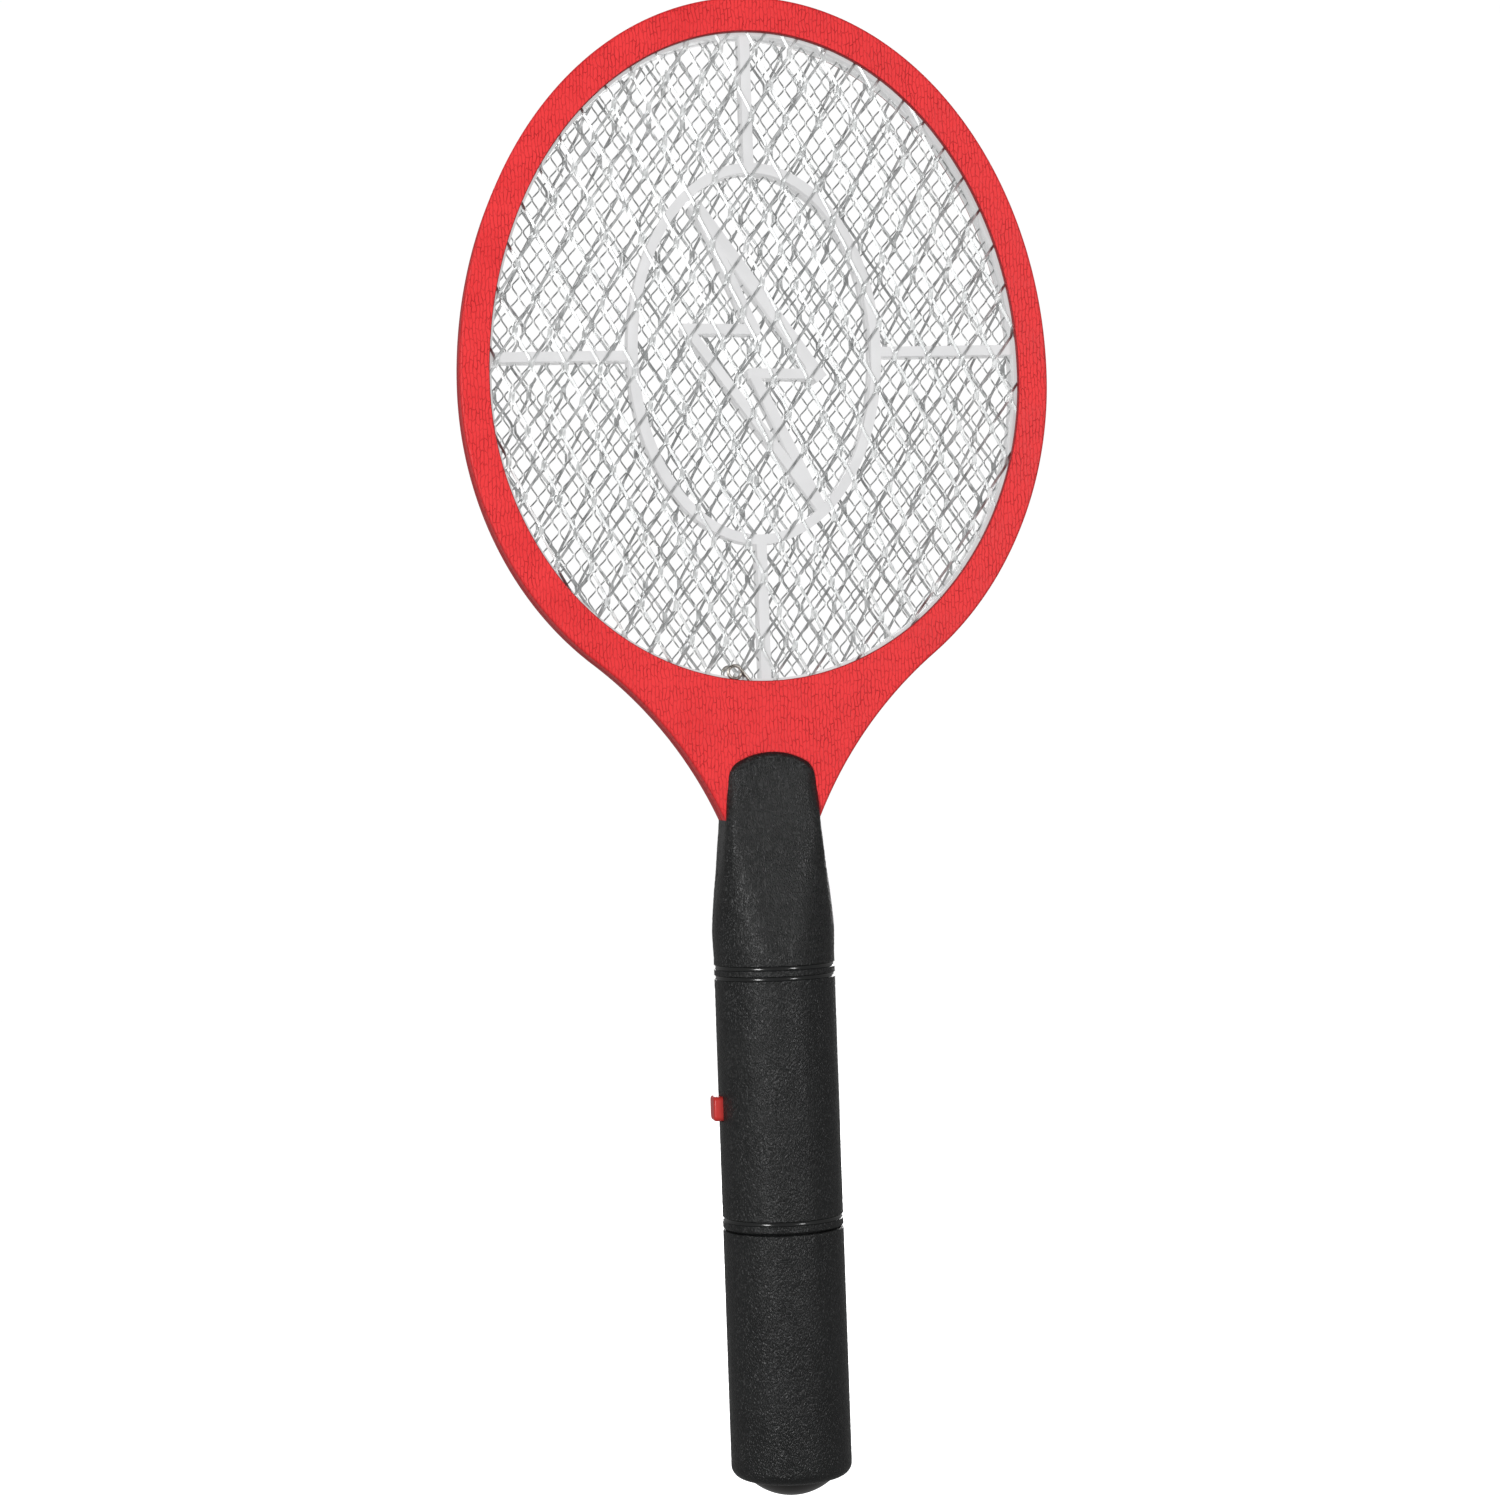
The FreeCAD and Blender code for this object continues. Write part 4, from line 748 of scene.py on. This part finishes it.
def row_heights(low, high, step):
    """Heights between two levels, closer together in the grooves."""
    heights = list(np.arange(low, high, step)) + [high]
    for groove in GROOVES:
        if low < groove < high:
            heights = [z for z in heights if abs(z - groove) > GROOVE_WIRE]
            heights += list(groove + GROOVE_WIRE * np.sin(np.linspace(-math.pi / 2, math.pi / 2, 11)))
    return sorted(heights)


def seam_specks(count, seed):
    """Moulding flash along a parting line, as a share of its largest height."""
    specks = smoothstep(np.random.RandomState(seed).uniform(0, 1, count), 0.72, 1.0)
    return 0.6 * specks + 0.2 * (np.roll(specks, 1) + np.roll(specks, -1))


def section_point(z, share):
    """Point of the tongue's outside at a height, share of the way across."""
    edge = edge_angle(z)
    angle = edge + share * (math.pi - 2 * edge)
    radius = float(section_radius(z, np.array([angle]))[0])
    return radius * math.cos(angle), radius * math.sin(angle)


def half_tube(skin, angles, low, side, seed):
    """Grained half tube with its inside and closed edges. Returns the top rows of the outside and inside."""
    heights = row_heights(low, NECK_ROOT.y, 0.6 * MM)
    specks = seam_specks(len(heights), seed)
    edge_round = 0.6 * MM
    outer = []
    inner = []
    for row, z in enumerate(heights):
        radius = section_radius(z, angles)
        thin = radius - SHELL_WALL
        low_edge = z - heights[0]
        if low_edge < edge_round:
            radius = radius - edge_round + math.sqrt(edge_round ** 2 - (edge_round - low_edge) ** 2)
        relief = emboss(angles * GRIP_RADIUS, np.full(len(angles), z), *GRAIN_CELL, seed)
        radius = radius - GRAIN_DEPTH * (1 - relief) * grain_mask(z)
        for end in (0, -1):
            radius[end] += SEAM_FLASH * specks[row]
        outer.append(skin.add([(r * math.cos(a), side * r * math.sin(a), z) for r, a in zip(radius, angles)]))
        inner.append(skin.add([(r * math.cos(a), side * r * math.sin(a), z) for r, a in zip(thin, angles)]))
    skin.sheet(outer)
    skin.sheet(inner)
    skin.strip(outer[0], inner[0])
    close_flanks(skin, outer, inner)
    return outer[-1], inner[-1]


def close_flanks(skin, outer, inner):
    """Join the outside and the inside along the first and the last point of their rows."""
    for end in (0, -1):
        skin.strip([row[end] for row in outer], [row[end] for row in inner])


def tongue_tops(shares):
    """Height of the tongue's arch, share of the way across, with rounded shoulders."""
    tops = np.full(len(shares), NECK_ROOT.y + TONGUE_RADIUS)
    steepest = 0.98
    for _ in range(4):
        x = np.array([section_point(z, share)[0] for z, share in zip(tops, shares)])
        shoulder = np.clip(np.abs(x) - (x.max() - SHOULDER_ROUND), 0, SHOULDER_ROUND)
        tops = NECK_ROOT.y + np.sqrt(TONGUE_RADIUS ** 2 - x ** 2)
        tops = tops - SHOULDER_ROUND + np.sqrt(SHOULDER_ROUND ** 2 - steepest * shoulder ** 2)
    return tops


def tongue_lift(x, y, z, top, seed):
    """Distance of the tongue's outside from the mid plane: rounded edge, then a bead, then leather grain."""
    rim = min(TONGUE_RADIUS - math.hypot(x, z - NECK_ROOT.y), top - z + 0.3 * MM)
    drop = TONGUE_ROUND - rim
    if drop > 0:
        y -= TONGUE_ROUND - math.sqrt(max(TONGUE_ROUND ** 2 - drop ** 2, 0))
    bead = float(smoothstep(rim, 0.6 * MM, 1.5 * MM) * (1 - smoothstep(rim, 1.7 * MM, 2.6 * MM)))
    bead_height = 0.22 * MM
    grain = float(emboss(np.array([x]), np.array([z]), *GRAIN_CELL, seed)[0])
    return max(y + bead_height * bead - GRAIN_DEPTH * (1 - grain), FACE + 0.02 * MM)


def add_tongue(skin, outer_row, inner_row, side, seed):
    """Tongue over the face of the head, from its first rows up to its arch."""
    shares = np.linspace(0, 1, ACROSS)
    tops = tongue_tops(shares)
    outer = [outer_row]
    inner = [inner_row]
    for row in range(1, TONGUE_ROWS + 1):
        rise = 1 - (1 - row / TONGUE_ROWS) ** 1.6
        outside = []
        inside = []
        for top, share in zip(tops, shares):
            z = NECK_ROOT.y + rise * (top - NECK_ROOT.y)
            x, y = section_point(z, share)
            outside.append((x, side * tongue_lift(x, y, z, top, seed), z))
            inside.append((x, side * FACE, z))
        outer.append(skin.add(outside))
        inner.append(skin.add(inside))
    skin.sheet(outer)
    skin.sheet(inner)
    skin.strip(outer[-1], inner[-1])
    close_flanks(skin, outer, inner)


def handle_half(name, node, side, seed):
    """One half of the handle: a half tube with a tongue, and a slot for the head's neck beside the tongue."""
    skin = Skin()
    root_edge = edge_angle(NECK_ROOT.y)
    angles = np.concatenate([np.linspace(0, root_edge, BESIDE),
                             np.linspace(root_edge, math.pi - root_edge, ACROSS)[1:],
                             np.linspace(math.pi - root_edge, math.pi, BESIDE)[1:]])
    outer, inner = half_tube(skin, angles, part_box(node)[0].z, side, seed)
    first = BESIDE - 1
    last = BESIDE + ACROSS - 2
    # ledges on both sides of the tongue, where the slot ends
    skin.strip(outer[:first + 1], inner[:first + 1])
    skin.strip(outer[last:], inner[last:])
    add_tongue(skin, outer[first:last + 1], inner[first:last + 1], side, seed)
    return skin.mesh(name)


def carve(mesh, name, cutters):
    """Cut boxes and cylinders, given as closed meshes, out of a mesh."""
    whole = bpy.data.objects.new(name + "_holder", mesh)
    bpy.context.scene.collection.objects.link(whole)
    tools = []
    for number, cutter in enumerate(cutters):
        tool = bpy.data.objects.new("%s_tool_%d" % (name, number), cutter)
        bpy.context.scene.collection.objects.link(tool)
        tools.append(tool)
        change = whole.modifiers.new("Cut", "BOOLEAN")
        change.operation = "DIFFERENCE"
        change.solver = "EXACT"
        change.object = tool
    bpy.context.view_layer.update()
    result = bpy.data.meshes.new_from_object(whole.evaluated_get(bpy.context.evaluated_depsgraph_get()))
    for thing in [whole] + tools:
        bpy.data.objects.remove(thing)
    result.name = name
    result.set_sharp_from_angle(angle=SHARP_FROM)
    return result


def box_mesh(name, low, high):
    """Closed box between two corners."""
    corners = [(x, y, z) for x in (low[0], high[0]) for y in (low[1], high[1]) for z in (low[2], high[2])]
    faces = [(0, 1, 3, 2), (4, 6, 7, 5), (0, 4, 5, 1), (2, 3, 7, 6), (0, 2, 6, 4), (1, 5, 7, 3)]
    mesh = mesh_of(name, corners, faces)
    outward(mesh)
    return mesh


def lathe(profile, centre=(0, 0), axis="Z", count=40, close=True):
    """Skin turned from (radius, along) points about an axis that passes through centre."""
    skin = Skin()
    rings = []
    for radius, along in profile:
        ring = []
        for step in range(count):
            angle = 2 * math.pi * step / count
            one = centre[0] + radius * math.cos(angle)
            two = centre[1] + radius * math.sin(angle)
            ring.append((one, two, along) if axis == "Z" else (one, along, two))
        rings.append(skin.add(ring))
    skin.sheet(rings, closed=True)
    if close:
        skin.strip(rings[-1], rings[0], closed=True)
    else:
        skin.ends(rings)
    return skin


SCREW_HEIGHTS = [97.0 * MM, 165.0 * MM, 190.0 * MM]
WELL_RADIUS = 3.0 * MM
WELL_FLOOR = 8.5 * MM
BUTTON_LOW, BUTTON_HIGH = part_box("push_button")
BUTTON_MIDDLE = 114.6 * MM
BUTTON_HALF = Vector((4.0, 3.6)) * MM
BUTTON_PLAY = 0.15 * MM


def button_cutter(name):
    """Box that cuts the button's window out of a half of the handle."""
    half_depth = BUTTON_HALF.x + BUTTON_PLAY
    half_length = BUTTON_HALF.y + BUTTON_PLAY
    return box_mesh(name, (-GRIP_RADIUS - 3 * MM, -half_depth, BUTTON_MIDDLE - half_length),
                    (-GRIP_RADIUS + 4 * MM, half_depth, BUTTON_MIDDLE + half_length))


def make_handle():
    """Both halves with the button's window, and the screw wells of the rear half with their tubes."""
    front = handle_half("handle_front_skin", "handle_front", -1, 41)
    front = carve(front, "handle_front_skin", [button_cutter("window")])
    new_piece("handle_front_skin", front, "body", "black_plastic", "handle_front")
    rear = handle_half("handle_rear_skin", "handle_rear", 1, 43)
    wells = []
    for number, height in enumerate(SCREW_HEIGHTS):
        profile = [(WELL_RADIUS, WELL_FLOOR), (WELL_RADIUS, GRIP_RADIUS + 2 * MM)]
        wells.append(lathe(profile, (0, height), "Y", close=False).mesh("well_%d" % number))
    rear = carve(rear, "handle_rear_skin", [button_cutter("window")] + wells)
    new_piece("handle_rear_skin", rear, "body", "black_plastic", "handle_rear")
    hole = 1.5 * MM
    outer = WELL_RADIUS + 0.9 * MM
    under = WELL_FLOOR - 0.9 * MM
    for number, height in enumerate(SCREW_HEIGHTS):
        mouth = neck_section(height)[1] - 0.5 * MM
        profile = [(WELL_RADIUS, mouth), (WELL_RADIUS, WELL_FLOOR), (hole, WELL_FLOOR), (hole, under),
                   (outer, under), (outer, mouth)]
        name = "screw_well_%d" % (number + 1)
        new_piece(name, lathe(profile, (0, height), "Y").mesh(name), "body", "black_plastic")


def make_sleeve():
    """Battery sleeve with grain, a rounded lower edge, an open bore and flash on its two parting lines."""
    low, high = GRIP_LOW.z, GRIP_HIGH.z
    hole = 11.8 * MM
    bore = 16.2 * MM
    floor = 2.0 * MM
    low_round = 3.4 * MM
    high_round = 0.6 * MM
    count = 224
    profile = [(hole, low), (hole + 1.0 * MM, low)]
    profile += [(GRIP_RADIUS - low_round + low_round * math.sin(a), low + low_round - low_round * math.cos(a))
                for a in np.linspace(0, math.pi / 2, 12)]
    profile += [(GRIP_RADIUS, z) for z in np.arange(low + low_round + 0.6 * MM, high - high_round, 0.6 * MM)]
    core = GRIP_RADIUS - high_round
    profile += [(core + high_round * math.cos(a), high - high_round + high_round * math.sin(a))
                for a in np.linspace(0, math.pi / 2, 6)]
    profile += [(bore + 0.2 * MM, high), (bore, high - 0.2 * MM), (bore, low + floor), (hole, low + floor)]
    skin = lathe(profile, count=count)
    points = np.array(skin.points)
    angles = np.arctan2(points[:, 1], points[:, 0])
    relief = emboss(angles * GRIP_RADIUS, points[:, 2], *GRAIN_CELL, 47)
    reach = np.hypot(points[:, 0], points[:, 1])
    grained = (reach > GRIP_RADIUS - 0.01 * MM).astype(float)
    specks = np.repeat(seam_specks(len(profile), 49), count)
    seam = (np.abs(np.abs(points[:, 0]) - reach) < 0.001 * MM).astype(float)
    grow = grained * (SEAM_FLASH * specks * seam - GRAIN_DEPTH * (1 - relief) * (1 - seam))
    points[:, :2] *= ((reach + grow) / reach)[:, None]
    skin.points = [tuple(point) for point in points]
    mesh = skin.mesh("battery_sleeve_skin")
    new_piece("battery_sleeve_skin", mesh, "sleeve", "black_plastic", "battery_sleeve")


def make_end_cap():
    """Glossy dome with a soft edge, on the stem that plugs into the sleeve."""
    low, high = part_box("end_cap")
    reach = high.x
    dome = 18.0 * MM
    stem = 11.65 * MM
    sweep = np.linspace(0.02, math.asin(reach / dome) - 0.03, 26)
    profile = [(dome * math.sin(a), dome - dome * math.cos(a)) for a in sweep]
    edge = dome - math.sqrt(dome ** 2 - reach ** 2)
    profile += [(reach - 0.1 * MM, edge - 0.15 * MM), (reach, edge - 0.02 * MM), (stem, edge), (stem, high.z)]
    mesh = lathe(profile, count=128, close=False).mesh("end_cap_dome")
    new_piece("end_cap_dome", mesh, "sleeve", "cap_plastic", "end_cap")


def rounded_loop(half_depth, half_length, corner, steps=8):
    """Points (y, z) of a rounded rectangle about the button's middle."""
    loop = []
    for quarter, (sign_y, sign_z) in enumerate(((1, 1), (-1, 1), (-1, -1), (1, -1))):
        for step in range(steps + 1):
            angle = math.pi / 2 * (quarter + step / steps)
            y = sign_y * (half_depth - corner) + corner * math.cos(angle)
            z = sign_z * (half_length - corner) + corner * math.sin(angle)
            loop.append((y, BUTTON_MIDDLE + z))
    return loop


def make_button():
    """Push button: a peg, a flange that keeps it in its window, and a cap with rounded corners and edges."""
    depth, length = BUTTON_HALF
    outer = BUTTON_LOW.x
    corner = 1.5 * MM
    edge = 0.75 * MM
    flange = 1.1 * MM
    flange_face = -14.5 * MM
    flange_back = -13.3 * MM
    peg = 1.4 * MM
    peg_corner = peg - 0.01 * MM
    sections = [(outer + 0.005 * MM, 0.2 * MM, 0.2 * MM, 0.1 * MM)]
    for angle in np.linspace(0, math.pi / 2, 7):
        inset = edge * (1 - math.sin(angle))
        face = outer + edge * (1 - math.cos(angle))
        sections.append((face, depth - inset, length - inset, corner - inset / 2))
    sections += [(flange_face, depth, length, corner), (flange_face, depth + flange, length + flange, corner),
                 (flange_back, depth + flange, length + flange, corner), (flange_back, peg, peg, peg_corner),
                 (BUTTON_HIGH.x, peg, peg, peg_corner)]
    skin = Skin()
    rings = []
    for x, half_depth, half_length, radius in sections:
        rings.append(skin.add([(x, y, z) for y, z in rounded_loop(half_depth, half_length, radius)]))
    skin.sheet(rings, closed=True)
    skin.ends(rings)
    new_piece("push_button_skin", skin.mesh("push_button_skin"), "button", "button_plastic", "push_button")


make_handle()
make_sleeve()
make_end_cap()
make_button()


# ---------------------------------------------------------------- the other pieces

EDGES = {
    "front_spacer": 0.25, "rear_spacer": 0.25, "front_grid_contact": 0.02, "rear_grid_contact": 0.02,
    "handle_screws": 0.12, "battery_cradle": 0.12, "battery_cell_left": 0.1, "battery_cell_right": 0.1,
    "positive_contact": 0.04, "negative_contact": 0.04, "jumper_contact": 0.04, "negative_spring": 0.01,
    "jumper_spring": 0.01,
}
for node_name, edge in EDGES.items():
    softened(node_name, edge * MM)


# ---------------------------------------------------------------- floor, light and camera

FLOOR_LEVEL = -SLEEVE_TRAVEL - 10 * MM
FLOOR_REACH = 3.0
FLOOR_GLOW = 0.97
BACKDROP_GLOW = 1.02
WORLD_LIGHT = 0.26
LIGHTS_TARGET = (0.0, 0.0, 0.22)
LIGHTS = {
    "key": {"place": (-1.0, -1.12, 0.40), "width": 0.30, "height": 0.9, "power": 15.5},
    "fill": {"place": (0.72, -1.32, 0.40), "width": 0.22, "height": 0.9, "power": 8.6},
    "back": {"place": (0.4, 1.4, 0.6), "width": 0.8, "height": 0.9, "power": 12.0},
}


def make_floor():
    """Pale round floor, bright enough to run into the white surroundings."""
    count = 96
    angles = [2 * math.pi * k / count for k in range(count)]
    rim = [(FLOOR_REACH * math.cos(angle), FLOOR_REACH * math.sin(angle), FLOOR_LEVEL) for angle in angles]
    mesh = mesh_of("floor", rim, [tuple(range(count))])
    floor = bpy.data.objects.new("floor", mesh)
    bpy.context.scene.collection.objects.link(floor)
    paint_floor = moulded("floor_paint", rgb(0.90, 0.90, 0.90), rgb(0.92, 0.92, 0.92), 0.8, 0.9, specular=0.1)
    shader = paint_floor.node_tree.nodes["Principled BSDF"]
    shader.inputs["Emission Color"].default_value = rgb(1.0, 1.0, 1.0)
    shader.inputs["Emission Strength"].default_value = FLOOR_GLOW
    mesh.materials.append(paint_floor)
    floor.visible_diffuse = False
    floor.visible_glossy = False


def make_world():
    """White surroundings that light the object less than they show."""
    world = bpy.data.worlds.new("studio")
    world.use_nodes = True
    tree = world.node_tree
    backdrop = tree.nodes["Background"]
    backdrop.inputs["Color"].default_value = rgb(1.0, 1.0, 1.0)
    backdrop.inputs["Strength"].default_value = BACKDROP_GLOW
    soft = tree.nodes.new("ShaderNodeBackground")
    soft.inputs["Color"].default_value = rgb(1.0, 1.0, 1.0)
    soft.inputs["Strength"].default_value = WORLD_LIGHT
    ray = tree.nodes.new("ShaderNodeLightPath")
    blend = tree.nodes.new("ShaderNodeMixShader")
    tree.links.new(ray.outputs["Is Camera Ray"], blend.inputs["Fac"])
    tree.links.new(soft.outputs["Background"], blend.inputs[1])
    tree.links.new(backdrop.outputs["Background"], blend.inputs[2])
    tree.links.new(blend.outputs["Shader"], tree.nodes["World Output"].inputs["Surface"])
    bpy.context.scene.world = world


def make_light(name, place, width, height, power):
    """Soft box that faces the middle of the object."""
    data = bpy.data.lights.new(name, "AREA")
    data.shape = "RECTANGLE"
    data.size = width
    data.size_y = height
    data.energy = power
    light = bpy.data.objects.new(name, data)
    light.location = place
    light.visible_camera = False
    light.rotation_euler = (Vector(LIGHTS_TARGET) - Vector(place)).to_track_quat("-Z", "Y").to_euler()
    bpy.context.scene.collection.objects.link(light)


def make_camera():
    """Level camera a little to the left of the face, rolled so that the handle leans to the right."""
    distance = 0.93
    bearing = math.radians(9.0)
    roll = math.radians(2.0)
    target = Vector((-5.0 * MM, 0.0, 219.4 * MM))
    forward = Vector((math.sin(bearing), math.cos(bearing), 0.0))
    side = forward.cross(Vector((0, 0, 1)))
    upright = Vector((0, 0, 1)) * math.cos(roll) + side * math.sin(roll)
    sideways = side * math.cos(roll) - Vector((0, 0, 1)) * math.sin(roll)
    turn = Matrix((sideways, upright, -forward)).transposed()
    data = bpy.data.cameras.new("camera")
    data.lens = 75.8
    data.sensor_width = 36.0
    camera = bpy.data.objects.new("camera", data)
    camera.matrix_world = Matrix.Translation(target - forward * distance) @ turn.to_4x4()
    bpy.context.scene.collection.objects.link(camera)
    bpy.context.scene.camera = camera


make_floor()
make_world()
for light_name, settings in LIGHTS.items():
    make_light(light_name, **settings)
make_camera()
bpy.context.scene.view_settings.view_transform = "Standard"
